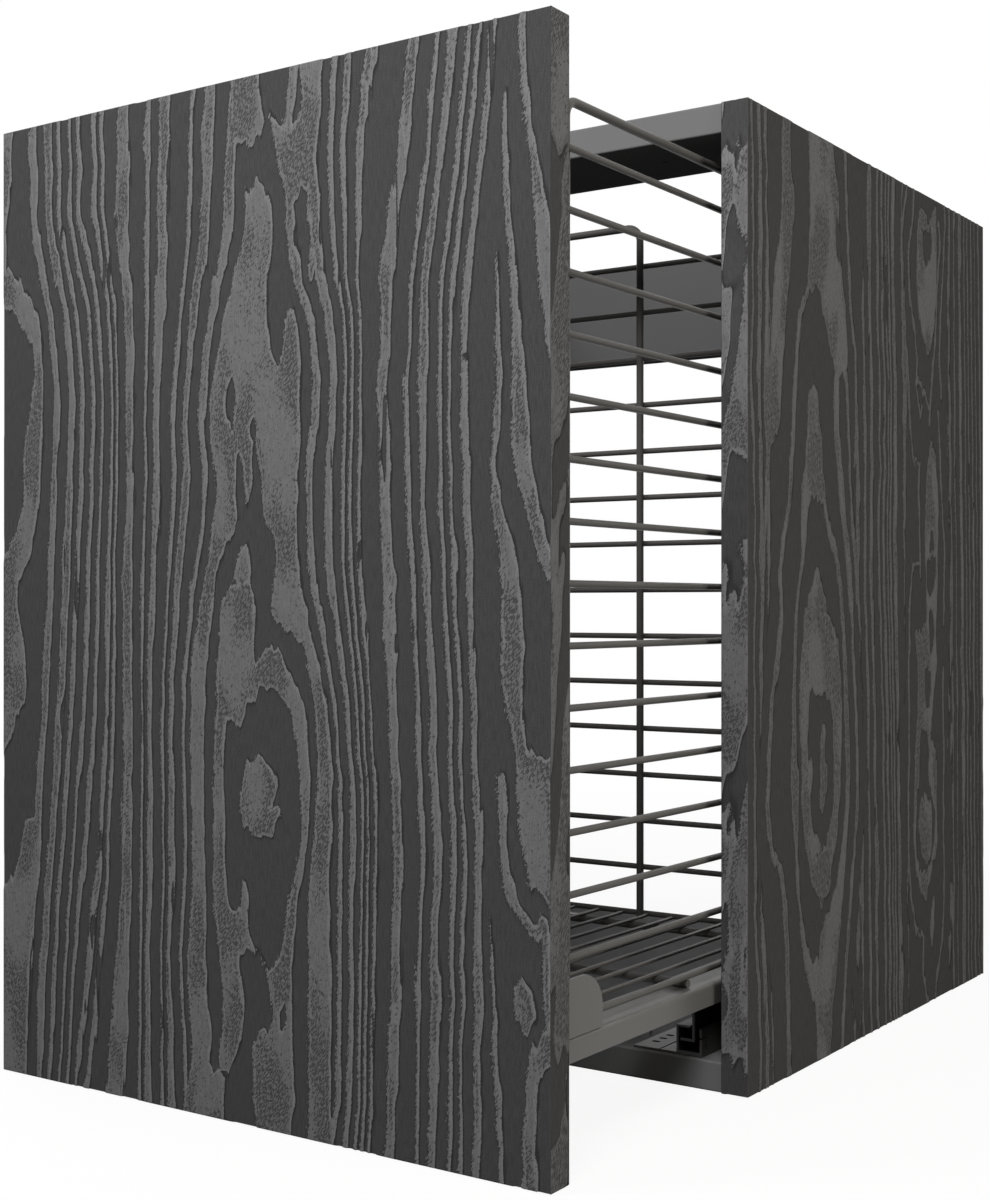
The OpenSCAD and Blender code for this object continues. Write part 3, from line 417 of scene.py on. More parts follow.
def grained_finish(name, ground, gap, solid, open_wood, stroke, fray):
    """Charcoal decor: an even dark ground, and pale bands of short slanting strokes that fray to the
    left and end cleanly on the right, with a painted shadow beside them: a soft dark line, faint on
    the left and strong on the right, as if the pressed bands were lit from the left. Each tone is the
    grey of its darkest spots, and the lightest are a third lighter. A stroke is its spacing and length
    in mm, and a small fray leaves the left edges more ragged."""
    made, tree, shader = new_finish(name, specular=0.0)
    band = add_node(tree, "Attribute", attribute_name="band").outputs["Fac"]
    lean = add_node(tree, "Attribute", attribute_name="lean").outputs["Fac"]
    flow = add_node(tree, "Attribute", attribute_name="flow").outputs["Vector"]
    tooth = stretched_noise(tree, flow, (1.6, 1.0, 1), detail=2)
    fibre = stretched_noise(tree, flow, (1.1, 0.10, 1), detail=2)
    patch = stretched_noise(tree, flow, (0.030, 0.012, 1), detail=1)
    speckle = ramp(tree, maths(tree, "ADD", tooth, fibre), 0.75, 1.25)

    def mottled(grey):
        lightest = (grey * LIGHT_SPOT, grey * LIGHT_SPOT, grey * LIGHT_SPOT_BLUE)
        return blend_colours(tree, speckle, (grey, grey, grey * COOL), lightest)

    # The strokes lean to the right, with small gaps between them, and lie open in wide bands
    links = {"Vector": flow, "Rotation": (0, 0, -STROKE_SLANT), "Scale": (*stroke, 1)}
    slanted = add_node(tree, "Mapping", links, vector_type="TEXTURE").outputs[0]
    links = {"Vector": slanted, "Scale": 1.0, "Detail": 1.5}
    strokes = maths(tree, "SUBTRACT", add_node(tree, "TexNoise", links).outputs["Fac"], 0.5)
    hold = maths(tree, "MULTIPLY", band, ramp(tree, lean, -0.4, 0.5, low=0.9, high=fray))
    middle = ramp(tree, band, 0.8, 2.8)
    open_share = ramp(tree, patch, 0.43, 0.60, low=0.0, high=CLOSED)
    ceiling = add_node(tree, "Mix", {0: middle, 2: CLOSED, 3: open_share}).outputs[0]
    cover = maths(tree, "ADD", strokes, maths(tree, "MINIMUM", hold, ceiling))
    pale = ramp(tree, cover, -0.03, 0.04)
    inside = ramp(tree, band, -0.4, 0.8)

    # A painted shadow beside a band, weak on its left and strong on its right, as from light from the
    # left
    strength = ramp(tree, lean, -0.5, 0.3, low=0.8, high=0.25)
    painted_shadow = maths(tree, "MULTIPLY", ramp(tree, band, -2.2, -0.3), strength)
    darkest = (ground * PAINTED_SHADOW, ground * PAINTED_SHADOW, ground * PAINTED_SHADOW_BLUE)
    dark = blend_colours(tree, painted_shadow, mottled(ground), darkest)
    dark = blend_colours(tree, inside, dark, mottled(gap))
    raised = blend_colours(tree, middle, mottled(solid), mottled(open_wood))
    tree.links.new(blend_colours(tree, pale, dark, raised), shader.inputs["Base Color"])
    tree.links.new(ramp(tree, band, -1, 1, low=0.50, high=0.62), shader.inputs["Roughness"])
    height = maths(tree, "ADD", pale, maths(tree, "MULTIPLY", tooth, 0.2))
    bump(tree, shader, height, distance=0.35 * MM, strength=0.8)
    return made


LAMINATE_CLOUDS = 1.12  # the lightest clouds, against the darkest


def laminate_finish(name, grey):
    """Smooth dull grey board with a fine tooth."""
    made, tree, shader = new_finish(name, specular=0.0)
    place = add_node(tree, "TexCoord").outputs["Object"]
    cloud = stretched_noise(tree, place, (9, 9, 9), detail=2)
    tooth = stretched_noise(tree, place, (900, 900, 900), detail=2)
    lighter = grey * LAMINATE_CLOUDS
    colour = blend_colours(tree, cloud, (grey, grey, grey * COOL), (lighter, lighter, lighter * COOL))
    tree.links.new(colour, shader.inputs["Base Color"])
    tree.links.new(ramp(tree, cloud, 0.3, 0.7, low=0.52, high=0.60), shader.inputs["Roughness"])
    bump(tree, shader, tooth, distance=0.00003, strength=0.6)
    return made


# The side decor is the front's charcoal decor with finer strokes, in darker, flatter tones: painted shade
# for the side faces and the front board's narrow faces
shaded_side_decor = grained_finish(
    "shaded_side_decor", ground=0.047, gap=0.056, solid=0.090, open_wood=0.108, stroke=(0.8, 4.4), fray=0.22
)
front_decor = grained_finish(
    "front_decor", ground=0.058, gap=0.070, solid=0.168, open_wood=0.142, stroke=(1.0, 3.2), fray=0.10
)
grey_laminate = laminate_finish("grey_laminate", 0.165)

# The decor's figure on a side panel: an arch with a long loop near the front, a chain of small
# hollows near the back, and straight bands between them.
SIDE_SEED = 21
OTHER_SIDE_SEED = 30  # gives the left board strokes and narrow faces of its own
# Straight bands, in mm from the board's front edge, and how far they lean at some heights
SIDE_BANDS = [
    (6, 9), (16, 22), (28, 34), (198, 203), (214, 219), (227, 233), (246, 250), (256, 261),
    (265.5, 268.5), (271, 275), (279, 287), (302, 304.5), (417, 421), (430, 432), (443, 451),
    (458, 461), (467, 470), (477, 481), (488, 490), (498, 502),
]
SIDE_LEAN = [(0, -12), (200, -8), (380, -3), (527, 0), (720, 3)]
SIDE_FRONT = 256  # mm from the unit's middle to the board's front edge, where the rings begin
# How much of the grain's wander the side's bands and patches follow
SIDE_BAND_WANDER = 0.85
SIDE_PATCH_WANDER = 0.6
# Places are mm from the unit's middle, at heights in mm. A pale or dark patch is a closed
# outline, and a number is the width of a pale band along its path.
SIDE_PATCHES = [
    # The front heart: a dark bed, a broad band, an arch and a long loop round a hollow
    ("dark", [
        (-215, 760), (-50, 760), (-48, 560), (-62, 480), (-58, 400), (-48, 300), (-42, 200), (-52, 120),
        (-66, 40), (-72, -40), (-200, -40), (-215, 60), (-238, 200), (-222, 350), (-214, 480),
    ]),
    ("pale", [
        (-184, 760), (-183, 690), (-176, 655), (-183, 620), (-192, 560), (-200, 500), (-205, 482),
        (-222, 476), (-219, 520), (-216, 570), (-212, 605), (-201, 645), (-199, 700), (-196, 760),
    ]),
    (6, [(-219, 490), (-224, 455), (-229, 410), (-233, 360)]),
    ("pale", [
        (-147, 760), (-147, 660), (-151, 600), (-134, 603), (-118, 574), (-104, 551), (-87, 537),
        (-73, 549), (-78, 590), (-88, 640), (-91, 690), (-102, 715), (-102, 760),
    ]),
    ("dark", [(-99, 712), (-90, 716), (-80, 700), (-84, 683), (-95, 690)]),
    ("dark", [(-98, 655), (-90, 660), (-86, 640), (-93, 632)]),
    (7, [
        (-140, 608), (-158, 590), (-168, 565), (-174, 520), (-180, 470), (-185, 430), (-196, 405),
        (-203, 380), (-199, 350), (-205, 315), (-215, 285), (-219, 245), (-220, 200), (-213, 172),
        (-198, 153), (-191, 130), (-188, 90), (-187, 40), (-184, -20),
    ]),
    (11, [(-95, 535), (-95, 495), (-89, 458), (-81, 420), (-73, 393), (-67, 355)]),
    (6, [
        (-67, 355), (-62, 300), (-57, 250), (-55, 205), (-60, 170), (-67, 134), (-73, 96), (-79, 57),
        (-88, -20),
    ]),
    (5, [(-76, 540), (-72, 500), (-69, 450), (-61, 405), (-54, 360)]),
    (5, [(-84, 760), (-76, 690), (-72, 640), (-66, 590), (-58, 560), (-55, 480), (-50, 440)]),
    ("pale", [
        (-139, 524), (-131, 515), (-124, 480), (-122, 455), (-112, 424), (-96, 402), (-85, 365),
        (-77, 310), (-71, 215), (-78, 160), (-89, 103), (-102, 44), (-113, -20), (-133, -20),
        (-136, 35), (-150, 60), (-165, 105), (-175, 165), (-181, 215), (-180, 285), (-175, 350),
        (-166, 388), (-163, 440), (-153, 480), (-148, 515),
    ]),
    ("dark", [
        (-135, 438), (-122, 432), (-113, 408), (-100, 388), (-91, 360), (-85, 300), (-82, 253),
        (-80, 205), (-92, 150), (-110, 118), (-129, 97), (-132, 82), (-148, 83), (-162, 118),
        (-170, 165), (-167, 215), (-174, 260), (-172, 330), (-166, 368), (-154, 408), (-147, 434),
    ]),
    ("pale", [
        (-135, 382), (-127, 372), (-116, 350), (-100, 335), (-89, 300), (-88, 250), (-93, 195),
        (-104, 155), (-114, 128), (-124, 121), (-136, 129), (-152, 155), (-162, 190), (-163, 235),
        (-168, 260), (-167, 300), (-160, 340), (-150, 362),
    ]),
    ("dark", [
        (-150, 285), (-133, 286), (-112, 281), (-106, 250), (-104, 208), (-111, 180), (-123, 165),
        (-141, 180), (-147, 205), (-143, 231), (-152, 243),
    ]),
    ("pale", [(-129, 255), (-121, 258), (-122, 238), (-116, 230), (-117, 209), (-129, 196)]),
    # The rear heart: two blots, a chain of small hollows and an eye
    ("dark", [
        (50, 760), (150, 760), (154, 560), (158, 400), (152, 200), (154, 60), (150, -40), (70, -40),
        (58, 100), (50, 250), (52, 420), (56, 560),
    ]),
    ("pale", [
        (124, 715), (129, 680), (129, 640), (122, 605), (111, 582), (98, 588), (84, 615), (80, 650),
        (84, 700), (95, 706), (110, 698),
    ]),
    ("dark", [(96, 688), (113, 691), (117, 678), (112, 663), (103, 660), (96, 672)]),
    (4, [(73, 760), (70, 695), (60, 660), (63, 625), (73, 595), (81, 575), (80, 555)]),
    (4, [(66, 760), (47, 690), (43, 655), (50, 600), (58, 560), (65, 500), (72, 482), (86, 478)]),
    (4, [(132, 700), (138, 680), (131, 640), (127, 600), (121, 570), (117, 548), (112, 520)]),
    (5, [(78, 553), (84, 551), (93, 548), (110, 534)]),
    (3, [(78, 549), (84, 532), (90, 520), (94, 536)]),
    (4, [(86, 478), (83, 455), (85, 420), (85, 380)]),
    (4, [(142, 760), (150, 700), (146, 660), (139, 620), (137, 580), (142, 545)]),
    (4, [(134, 530), (137, 500), (141, 450), (147, 400), (144, 340)]),
    ("pale", [
        (115, 505), (123, 492), (130, 468), (132, 440), (129, 400), (128, 360), (124, 330), (128, 300),
        (120, 270), (113, 246), (100, 250), (80, 262), (82, 290), (74, 330), (90, 334), (101, 345),
        (100, 365), (97, 400), (99, 440), (103, 468), (108, 487),
    ]),
    ("dark", [(108, 414), (114, 420), (120, 413), (118, 404), (108, 405)]),
    ("dark", [(104, 396), (120, 398), (124, 385), (118, 366), (108, 362), (101, 375)]),
    ("dark", [(108, 348), (116, 345), (119, 325), (113, 310), (108, 322)]),
    ("dark", [(98, 300), (112, 296), (113, 275), (104, 266), (98, 280)]),
    (4, [(80, 388), (68, 388), (62, 360), (59, 300), (61, 240), (58, 180), (58, 125), (68, 90)]),
    (4, [(68, 90), (78, 68), (90, 65), (97, 55), (94, 32), (105, 8), (114, -20)]),
    (4, [(146, 300), (143, 270), (146, 220), (145, 150), (147, 90), (144, 50), (132, 25), (118, -20)]),
    ("pale", [
        (84, 262), (75, 230), (73, 192), (69, 160), (74, 130), (84, 106), (95, 96), (106, 101),
        (115, 120), (127, 138), (129, 160), (127, 190), (129, 212), (123, 223), (113, 234), (109, 250),
    ]),
    ("dark", [
        (90, 246), (101, 243), (107, 222), (107, 200), (116, 184), (123, 165), (119, 140), (103, 118),
        (90, 118), (79, 133), (76, 158), (80, 186), (85, 200), (86, 230),
    ]),
    ("pale", [
        (91, 183), (103, 186), (114, 174), (116, 150), (108, 128), (97, 126), (87, 141), (82, 160),
        (85, 175),
    ]),
    ("pale", [(116, 90), (122, 92), (123, 70), (118, 48), (113, 65)]),
]


def side_figure(u, v):
    """Depth of the bands over the right side's shown face."""
    wander = grain_wander(u, v, SIDE_SEED)
    bent = u + SIDE_BAND_WANDER * wander + np.interp(v, *zip(*SIDE_LEAN))
    depth = band_depth(growth_rings(bent + SIDE_FRONT, SIDE_BANDS), u, v, SIDE_SEED)
    return paint_patches(depth, u + SIDE_PATCH_WANDER * wander, v, SIDE_PATCHES, SIDE_SEED)


def other_side_figure(u, v):
    """The same figure turned round for the left side, so that it also starts at the front."""
    return side_figure(-u, v)


# The sides' narrow faces take the brighter front decor; their shown faces take the darker side decor,
# which is painted shade
finishes = (shaded_side_decor, grey_laminate, front_decor)
grained_board(
    "right_side_board", "right_side_panel", "carcass", math.pi / 2, side_figure,
    SIDE_SEED, finishes,
)
grained_board(
    "left_side_board", "left_side_panel", "carcass", -math.pi / 2, other_side_figure,
    OTHER_SIDE_SEED, finishes,
)


# ---------- Bottom panel, front top rail and rear rail ----------
# Smooth 22 mm boards between the sides, in dull grey laminate; the rear rail's is darker, painted shade
# for its place deep inside the unit.
# The back stays open, and the rails are drilled for worktop and wall screws.


def dress(names, finish):
    """Gives CAD nodes their finish."""
    for name in names:
        mesh = nodes[name].data
        mesh.materials.clear()
        mesh.materials.append(finish)


dress(["bottom_panel", "front_top_rail"], grey_laminate)
# The rear rail's darker laminate is painted shade, as it lies deep inside the unit
dress(["rear_rail"], laminate_finish("shaded_laminate", 0.108))


# ---------- Dowels, cams and bolts ----------
# Beech dowels line the boards up. Zinc cams of 15 mm pull on bolts screwed into the
# sides, and their heads with crossed slots show flush in the boards.


def beech_finish():
    """Pale wood with its fibres along the dowels."""
    made, tree, shader = new_finish("beech", specular=0.3)
    place = add_node(tree, "TexCoord").outputs["Object"]
    fibre = stretched_noise(tree, place, (60, 900, 900), detail=3)
    colour = blend_colours(tree, fibre, (0.50, 0.33, 0.18), (0.66, 0.47, 0.28))
    tree.links.new(colour, shader.inputs["Base Color"])
    tree.links.new(ramp(tree, fibre, 0.3, 0.7, low=0.55, high=0.7), shader.inputs["Roughness"])
    bump(tree, shader, fibre, distance=0.0001, strength=0.6)
    return made


SHINE_VARIES = 0.12  # roughness added in the lightest clouds


def metal_finish(name, dark, light, rough, scale, metallic=1.0, specular=0.5, dent=0.00002):
    """Plated or coated metal: soft clouds in its colour and shine over a fine tooth."""
    made, tree, shader = new_finish(name, specular=specular, metallic=metallic)
    place = add_node(tree, "TexCoord").outputs["Object"]
    cloud = stretched_noise(tree, place, (45, 45, 45), detail=3)
    tooth = stretched_noise(tree, place, scale, detail=2)
    tree.links.new(blend_colours(tree, cloud, dark, light), shader.inputs["Base Color"])
    shine = maths(tree, "ADD", maths(tree, "MULTIPLY", cloud, SHINE_VARIES), rough)
    tree.links.new(shine, shader.inputs["Roughness"])
    bump(tree, shader, tooth, distance=dent, strength=0.7)
    return made


dress(["dowels"], beech_finish())
zinc = metal_finish(
    "zinc", (0.42, 0.42, 0.43), (0.56, 0.56, 0.57), rough=0.26, scale=(500, 500, 500)
)
dress(["cam_housings", "cam_bolts"], zinc)


# ---------- Runner bases ----------
# Each runner stands on a pressed base plate screwed to the bottom panel, with oval slots and a
# slit at each end. A black channel and a black upright are riveted on it over spacers.

base_steel = metal_finish(
    "base_steel", (0.050, 0.048, 0.045), (0.075, 0.072, 0.068), rough=0.30,
    scale=(300, 1200, 300), metallic=0.0, specular=0.12,
)
black_steel = metal_finish(
    "black_steel", (0.008, 0.008, 0.009), (0.014, 0.014, 0.015), rough=0.36,
    scale=(700, 700, 700), metallic=0.0, specular=0.25,
)
dress(["base_plate_left", "base_plate_right"], base_steel)
dress(["base_plate_screws", "runner_spacers"], zinc)
for side in ("left", "right"):
    dress([f"runner_channel_{side}", f"runner_upright_{side}"], black_steel)


# ---------- Slides ----------
# Full-extension slides of three nested steel members. Two cages hold the balls apart between
# them, and the balls roll in races pressed into the members' flanges.

race_steel = metal_finish(
    "race_steel", (0.010, 0.010, 0.011), (0.018, 0.018, 0.019), rough=0.26,
    scale=(300, 1500, 300), metallic=0.0, specular=0.4,
)
ball_steel = metal_finish(
    "ball_steel", (0.62, 0.63, 0.65), (0.70, 0.71, 0.73), rough=0.06,
    scale=(900, 900, 900), dent=0.000002,
)
for side in ("left", "right"):
    dress([f"slide_{member}_{side}" for member in ("outer", "middle", "inner")], race_steel)
    dress([f"outer_ball_cage_{side}", f"inner_ball_cage_{side}"], zinc)
dress(["outer_balls", "inner_balls"], ball_steel)
dress(["slide_rivets"], zinc)


# ---------- Tray rails and front brackets ----------
# Folded sheet rails cover the slides and carry the basket. A bracket screwed to the front ends
# each rail in a wing with a round corner. All wear a warm grey powder coat.

coated_steel = metal_finish(
    "coated_steel", (0.088, 0.085, 0.080), (0.102, 0.099, 0.093), rough=0.28,
    scale=(2500, 2500, 2500), metallic=0.0, specular=0.3, dent=0.000006,
)
for side in ("left", "right"):
    dress([f"tray_rail_{side}", f"front_bracket_{side}"], coated_steel)
dress(["rail_stop_screws"], black_steel)
dress(["rail_rivets"], zinc)


# ---------- Front ----------
# The front is one grained board 22 mm thick, screwed to the brackets and to two black clips
# that hold the basket's front frame. Clear buffers sit on its back.

FRONT_SEED = 7
# Places are mm across from the unit's middle, at heights in mm. Between its two flanks lies the
# heart of the figure. The rings are mm outward from a flank, at its widest place.
LEFT_FLANK = [
    (0, -47), (110, -55), (170, -50), (300, -51), (355, -43), (415, -30), (450, -28), (480, -32),
    (540, -22), (605, -4), (650, 0), (715, 6),
]
RIGHT_FLANK = [
    (0, 72), (30, 77), (240, 78), (300, 70), (345, 58), (380, 49), (440, 48), (500, 54), (545, 48),
    (570, 34), (610, 26), (650, 22), (715, 30),
]
LEFT_RINGS = [
    (5, 8), (16, 21), (25, 27), (36, 41), (45, 47), (54, 61), (69, 71), (74, 77), (84, 87),
    (93, 96), (104, 108), (114, 121), (131, 138),
]
RIGHT_RINGS = [
    (5, 8), (15, 19), (24, 26), (29, 31), (35, 37), (50, 57), (72, 75), (82, 88), (97, 100),
    (105, 107.5), (115, 120),
]
LEFT_STRAIGHT = -110  # the places across from which the bands run straight
RIGHT_STRAIGHT = 130
# How far the straight bands lean sideways, in mm, at some heights, and how much of that lean
# there is at places across the board
LEFT_LEAN = [(0, -36), (100, -28), (200, -19), (356, -6), (500, 0), (570, -7), (640, -22), (715, -24)]
RIGHT_LEAN = [(0, -3), (200, 0), (300, -4), (400, -9), (500, -13), (560, -10), (640, 4), (715, 12)]
LEAN_SHARE = [(-165, 1), (-105, 0), (85, 0), (120, 1)]
FRONT_WANDER = 0.5  # how much of the grain's wander the figure follows
FRONT_PATCHES = [
    # The tall pale tongue and its long foot
    ("pale", [
        (-48, -20), (-50, 40), (-55, 110), (-50, 170), (-51, 297), (-43, 355), (-29, 415), (-27, 440),
        (-33, 478), (-27, 520), (-12, 575), (-2, 605), (0, 632), (8, 642), (20, 632), (25, 600),
        (20, 570), (25, 524), (33, 517), (37, 548), (44, 554), (50, 515), (50, 470), (47, 410),
        (54, 355), (70, 300), (78, 245), (75, 170), (77, 100), (77, 32), (70, -20),
    ]),
    # Its dark hollow, with a pointed top
    ("dark", [
        (-17, -20), (-18, 28), (-32, 34), (-31, 62), (-37, 105), (-37, 280), (-31, 350), (-24, 385),
        (-5, 413), (9, 434), (18, 414), (28, 392), (24, 360), (28, 345), (52, 328), (63, 280),
        (65, 235), (57, 160), (57, 60), (58, 15), (50, -20),
    ]),
    # The inner ring
    ("pale", [
        (36, -20), (46, 25), (43, 60), (43, 125), (50, 170), (59, 225), (54, 285), (41, 312),
        (28, 326), (11, 317), (9, 358), (5, 367), (-16, 366), (-23, 350), (-27, 265), (-29, 190),
        (-30, 150), (-21, 80), (-24, 38), (-10, 37), (0, 70), (8, 45), (12, -20),
    ]),
    ("dark", [
        (-17, 272), (-8, 271), (2, 282), (16, 296), (40, 289), (50, 244), (50, 200), (40, 160),
        (33, 125), (22, 110), (3, 132), (2, 155), (-2, 168), (-5, 146), (-14, 148), (-18, 175),
    ]),
    ("dark", [
        (-7, 116), (5, 121), (17, 110), (24, 72), (12, 62), (6, 38), (12, -20), (-18, -20), (-16, 30),
        (-9, 42), (-1, 72), (-3, 92),
    ]),
    ("pale", [
        (13, 251), (26, 247), (31, 230), (25, 219), (34, 212), (17, 197), (-3, 209), (-2, 230), (6, 249),
    ]),
    ("pale", [(-4, 392), (1, 394), (4, 372), (-3, 367), (-11, 374)]),
    ("pale", [(-32, -20), (-32, 24), (-26, 33), (-19, 24), (-20, -20)]),
    ("dark", [(-17, 497), (-12, 510), (-8, 496), (-11, 476), (-16, 482)]),
    ("dark", [(4, 476), (9, 482), (11, 470), (7, 466)]),
    ("dark", [(-7, 412), (-9, 450), (-5, 458), (-1, 440), (1, 415)]),
    ("dark", [(6, 425), (9, 468), (12, 452), (15, 425)]),
    ("dark", [(31, 84), (36, 86), (36, 70), (32, 68)]),
    # Pale blots beside the tip
    ("pale", [(-11, 735), (-12, 684), (-5, 669), (2, 668), (17, 677), (15, 690), (6, 735)]),
    ("pale", [
        (21, 690), (27, 680), (40, 672), (50, 690), (49, 735), (72, 735), (64, 698), (59, 672),
        (60, 632), (46, 630), (38, 622), (32, 640),
    ]),
    ("pale", [(56, 573), (59, 596), (63, 576)]),
    # A dark hollow cut by the board's left edge, and broad pale wood below it
    ("dark", [
        (-224, 760), (-219, 640), (-204, 560), (-204, 460), (-210, 250), (-216, 60), (-226, -40),
        (-290, -40), (-290, 760),
    ]),
    ("pale", [(-236, 760), (-237, 690), (-243, 650), (-246, 610), (-290, 610), (-290, 760)]),
    ("pale", [
        (-290, 600), (-244, 612), (-222, 590), (-207, 555), (-206, 450), (-218, 390), (-232, 365),
        (-223, 310), (-230, 275), (-290, 215),
    ]),
    ("dark", [(-290, 600), (-238, 577), (-218, 550), (-216, 520), (-226, 470), (-230, 415), (-290, 365)]),
    ("pale", [
        (-222, 192), (-207, 190), (-206, 160), (-217, 90), (-220, 45), (-230, -30), (-290, -30),
        (-290, 110), (-238, 145),
    ]),
    # A fork and a hook at the right edge
    ("dark", [
        (216, 760), (214, 640), (204, 560), (200, 450), (203, 300), (203, -40), (290, -40), (290, 760),
    ]),
    ("pale", [
        (209, 575), (212, 490), (209, 435), (222, 390), (229, 340), (228, 290), (236, 262), (270, 255),
        (270, 180), (240, 178), (226, 215), (222, 262), (213, 310), (212, 370), (205, 425), (207, 490),
    ]),
    ("pale", [
        (217, 668), (220, 600), (225, 545), (231, 470), (242, 410), (256, 350), (236, 395), (221, 450),
        (220, 545), (215, 600), (214, 655),
    ]),
    ("pale", [
        (227, 740), (228, 680), (238, 600), (240, 550), (252, 480), (252, 560), (246, 600), (233, 670),
        (231, 740),
    ]),
    ("pale", [
        (210, 248), (216, 250), (217, 205), (224, 180), (235, 164), (247, 158), (248, 100), (243, 104),
        (241, 150), (230, 158), (216, 178), (211, 205),
    ]),
    ("pale", [(222, 125), (232, 128), (237, 108), (230, 96), (222, 104)]),
    ("pale", [(245, 97), (270, 80), (240, 70), (236, 30), (236, -30), (225, -30), (228, 45), (233, 80)]),
    ("pale", [(204, 165), (208, 100), (212, 30), (213, -30), (210, -30), (208, 30), (205, 100)]),
]


def flank_distance(u, v, flank, straight):
    """Distance outside a flank, in mm where the flank lies widest, and true beyond the straight."""
    edge = np.interp(v, *zip(*flank))
    widest = max((place for _, place in flank), key=abs)
    share = (u - edge) / (straight - edge)
    span = abs(straight - widest)
    return np.where(share < 1, share * span, span + abs(u - straight))


def front_figure(u, v):
    """Depth of the bands over the front's shown face."""
    lean = np.where(u < 0, np.interp(v, *zip(*LEFT_LEAN)), np.interp(v, *zip(*RIGHT_LEAN)))
    shaken = u + FRONT_WANDER * grain_wander(u, v, FRONT_SEED)
    bent = shaken - np.interp(u, *zip(*LEAN_SHARE)) * lean
    left = growth_rings(flank_distance(bent, v, LEFT_FLANK, LEFT_STRAIGHT), LEFT_RINGS)
    right = growth_rings(flank_distance(bent, v, RIGHT_FLANK, RIGHT_STRAIGHT), RIGHT_RINGS)
    middle = (np.interp(v, *zip(*LEFT_FLANK)) + np.interp(v, *zip(*RIGHT_FLANK))) / 2
    depth = band_depth(np.where(shaken < middle, left, right), u, v, FRONT_SEED)
    return paint_patches(depth, shaken, v, FRONT_PATCHES, FRONT_SEED)


# Its narrow faces take the darker side decor, which is painted shade on them
grained_board(
    "front_board", "front_panel", "pull_out", 0.0, front_figure, FRONT_SEED,
    (front_decor, grey_laminate, shaded_side_decor),
)
black_plastic = metal_finish(
    "black_plastic", (0.012, 0.012, 0.012), (0.018, 0.018, 0.018), rough=0.42,
    scale=(900, 900, 900), metallic=0.0,
)
clear_rubber = metal_finish(
    "clear_rubber", (0.60, 0.60, 0.58), (0.68, 0.68, 0.66), rough=0.30,
    scale=(300, 300, 300), metallic=0.0,
)
dress(["upper_clips"], black_plastic)
dress(["front_screws"], zinc)
dress(["front_buffers"], clear_rubber)


# ---------- Basket ----------
# Fifteen hoops of 4.8 mm wire are spot-welded round four bent frames. Thin wires welded on
# three cross wires make the floor, and the whole is powder coated in warm anthracite.

basket_coat = metal_finish(
    "basket_coat", (0.082, 0.079, 0.074), (0.102, 0.098, 0.092), rough=0.30,
    scale=(3000, 3000, 3000), metallic=0.0, specular=0.08, dent=0.000004,
)
hoops = sorted(n for n in nodes if n.startswith("hoop_"))
frames = ["side_frame_left", "side_frame_right", "back_frame", "front_frame"]
dress(hoops + frames + ["cross_wires", "floor_wires"], basket_coat)


# ---------- Studio ----------
# A pale floor that runs out into white, two soft lamps in front, one at each side and one behind,
# and the camera where the photograph was taken.

FLOOR_REACH = 12.0  # m
FLOOR_DROP = 0.0005  # m below the unit, so that no two faces lie in one plane
WHITE_FROM, WHITE_TO = 0.5, 2.0  # m from the unit's middle, where the floor turns white
NEAR_WHITE = 0.90  # how white it is at the unit


def seen_directly(tree):
    """1 for what the camera, a reflection or clear material sees, and 0 for light that bounces."""
    ray = add_node(tree, "LightPath")
    direct = maths(tree, "ADD", ray.outputs["Is Camera Ray"], ray.outputs["Is Glossy Ray"])
    direct = maths(tree, "ADD", direct, ray.outputs["Is Transmission Ray"])
    return maths(tree, "MINIMUM", direct, 1.0)


def floor_finish():
    """Pale where it is seen, fading to white far out, and darker for light that bounces off it."""
    made = bpy.data.materials.new("pale_floor")
    made.use_nodes = True
    tree = made.node_tree
    tree.nodes.remove(tree.nodes["Principled BSDF"])
    place = add_node(tree, "NewGeometry").outputs["Position"]
    flat = add_node(tree, "VectorMath", {0: place, 1: (1, 1, 0)}, operation="MULTIPLY").outputs[0]
    radius = add_node(tree, "VectorMath", {0: flat}, operation="LENGTH").outputs["Value"]
    glow = add_node(tree, "Emission", {"Color": (1, 1, 1, 1), "Strength": 1.0}).outputs[0]
    paint = add_node(tree, "BsdfDiffuse", {"Color": (0.92, 0.92, 0.92, 1)}).outputs[0]
    whiteness = ramp(tree, radius, WHITE_FROM, WHITE_TO, low=NEAR_WHITE, high=1.0)
    seen = add_node(tree, "MixShader", {0: whiteness, 1: paint, 2: glow}).outputs[0]
    bounce = add_node(tree, "BsdfDiffuse", {"Color": (0.10, 0.10, 0.10, 1)}).outputs[0]
    mixed = add_node(tree, "MixShader", {0: seen_directly(tree), 1: bounce, 2: seen})
    tree.links.new(mixed.outputs[0], tree.nodes["Material Output"].inputs["Surface"])
    return made


floor_mesh = bpy.data.meshes.new("floor")
square = ((-1, -1), (1, -1), (1, 1), (-1, 1))
floor_corners = [(x * FLOOR_REACH, y * FLOOR_REACH, -FLOOR_DROP) for x, y in square]
floor_mesh.from_pydata(floor_corners, [], [(0, 1, 2, 3)])
floor = bpy.data.objects.new("floor", floor_mesh)
floor_mesh.materials.append(floor_finish())
bpy.context.scene.collection.objects.link(floor)


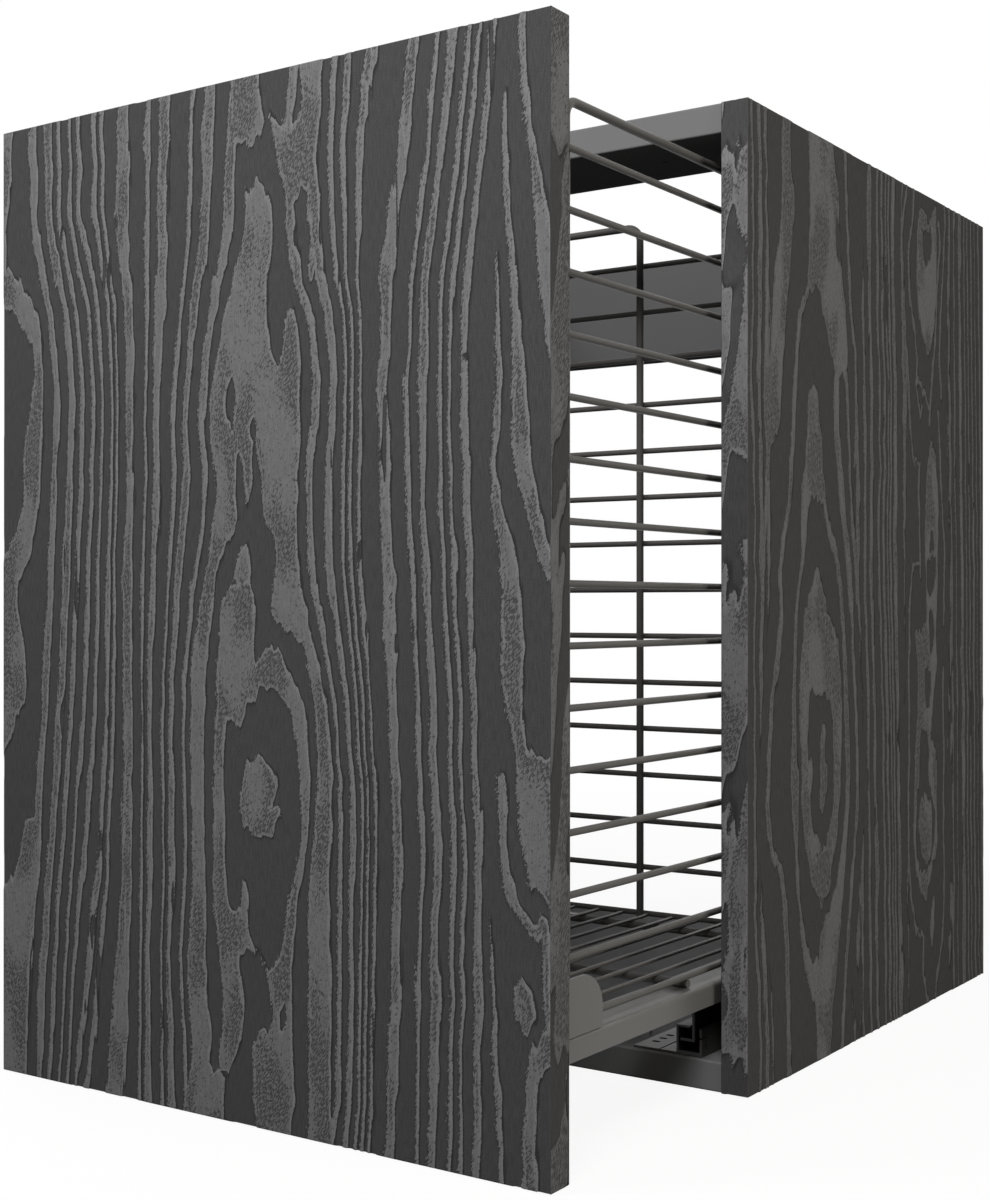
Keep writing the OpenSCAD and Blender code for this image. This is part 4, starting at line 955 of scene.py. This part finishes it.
def white_world(ambient, seen):
    """White where it is seen, and weak as light on the unit."""
    world = bpy.data.worlds.new("studio")
    bpy.context.scene.world = world
    world.use_nodes = True
    tree = world.node_tree
    links = {"Value": seen_directly(tree), "To Min": ambient, "To Max": seen}
    strength = add_node(tree, "MapRange", links).outputs["Result"]
    background = tree.nodes["Background"]
    background.inputs["Color"].default_value = (1, 1, 1, 1)
    tree.links.new(strength, background.inputs["Strength"])


white_world(ambient=0.035, seen=1.0)


def lamp(name, place, target, size, watts, colour=(1, 1, 1)):
    """A square lamp that faces its target."""
    data = bpy.data.lights.new(name, "AREA")
    data.size = size
    data.energy = watts
    data.color = colour
    made = bpy.data.objects.new(name, data)
    made.location = place
    made.rotation_euler = (Vector(target) - Vector(place)).to_track_quat("-Z", "Y").to_euler()
    bpy.context.scene.collection.objects.link(made)


UPPER_FRONT = (0, -0.25, 0.8)
UNIT_MIDDLE = (0, -0.1, 0.35)
lamp("left_lamp", (-0.75, -1.45, 1.75), UPPER_FRONT, size=0.7, watts=15)
lamp("front_lamp", (0.75, -1.75, 1.8), UPPER_FRONT, size=0.9, watts=37)
lamp("right_lamp", (2.6, -0.45, 0.85), UNIT_MIDDLE, size=1.2, watts=37, colour=(1, 0.96, 0.89))
lamp("left_side_lamp", (-2.6, 0.5, 1.0), UNIT_MIDDLE, size=1.2, watts=30)
lamp("rear_lamp", (0.4, 2.7, 1.1), UNIT_MIDDLE, size=1.2, watts=26)

# The photograph's lens and place, on a frame of 990 by 1200 pixels, read from the unit's own edges
PHOTO_HEIGHT = 1200
FOCAL_PIXELS = 1715
HORIZON_PIXEL = 607.2
SENSOR = 36.0  # mm
CAMERA_PLACE = (0.8031, -1.3744, 0.3532)
CAMERA_TURN = math.radians(34.46)
CAMERA_REACH = 60  # m
camera_data = bpy.data.cameras.new("photo_camera")
camera_data.sensor_width = SENSOR
camera_data.lens = FOCAL_PIXELS / PHOTO_HEIGHT * SENSOR
camera_data.shift_y = (HORIZON_PIXEL - PHOTO_HEIGHT / 2) / PHOTO_HEIGHT
camera_data.clip_end = CAMERA_REACH
camera = bpy.data.objects.new("photo_camera", camera_data)
camera.location = CAMERA_PLACE
camera.rotation_euler = (math.pi / 2, 0, CAMERA_TURN)
bpy.context.scene.collection.objects.link(camera)
bpy.context.scene.camera = camera
bpy.context.scene.view_settings.view_transform = "Standard"
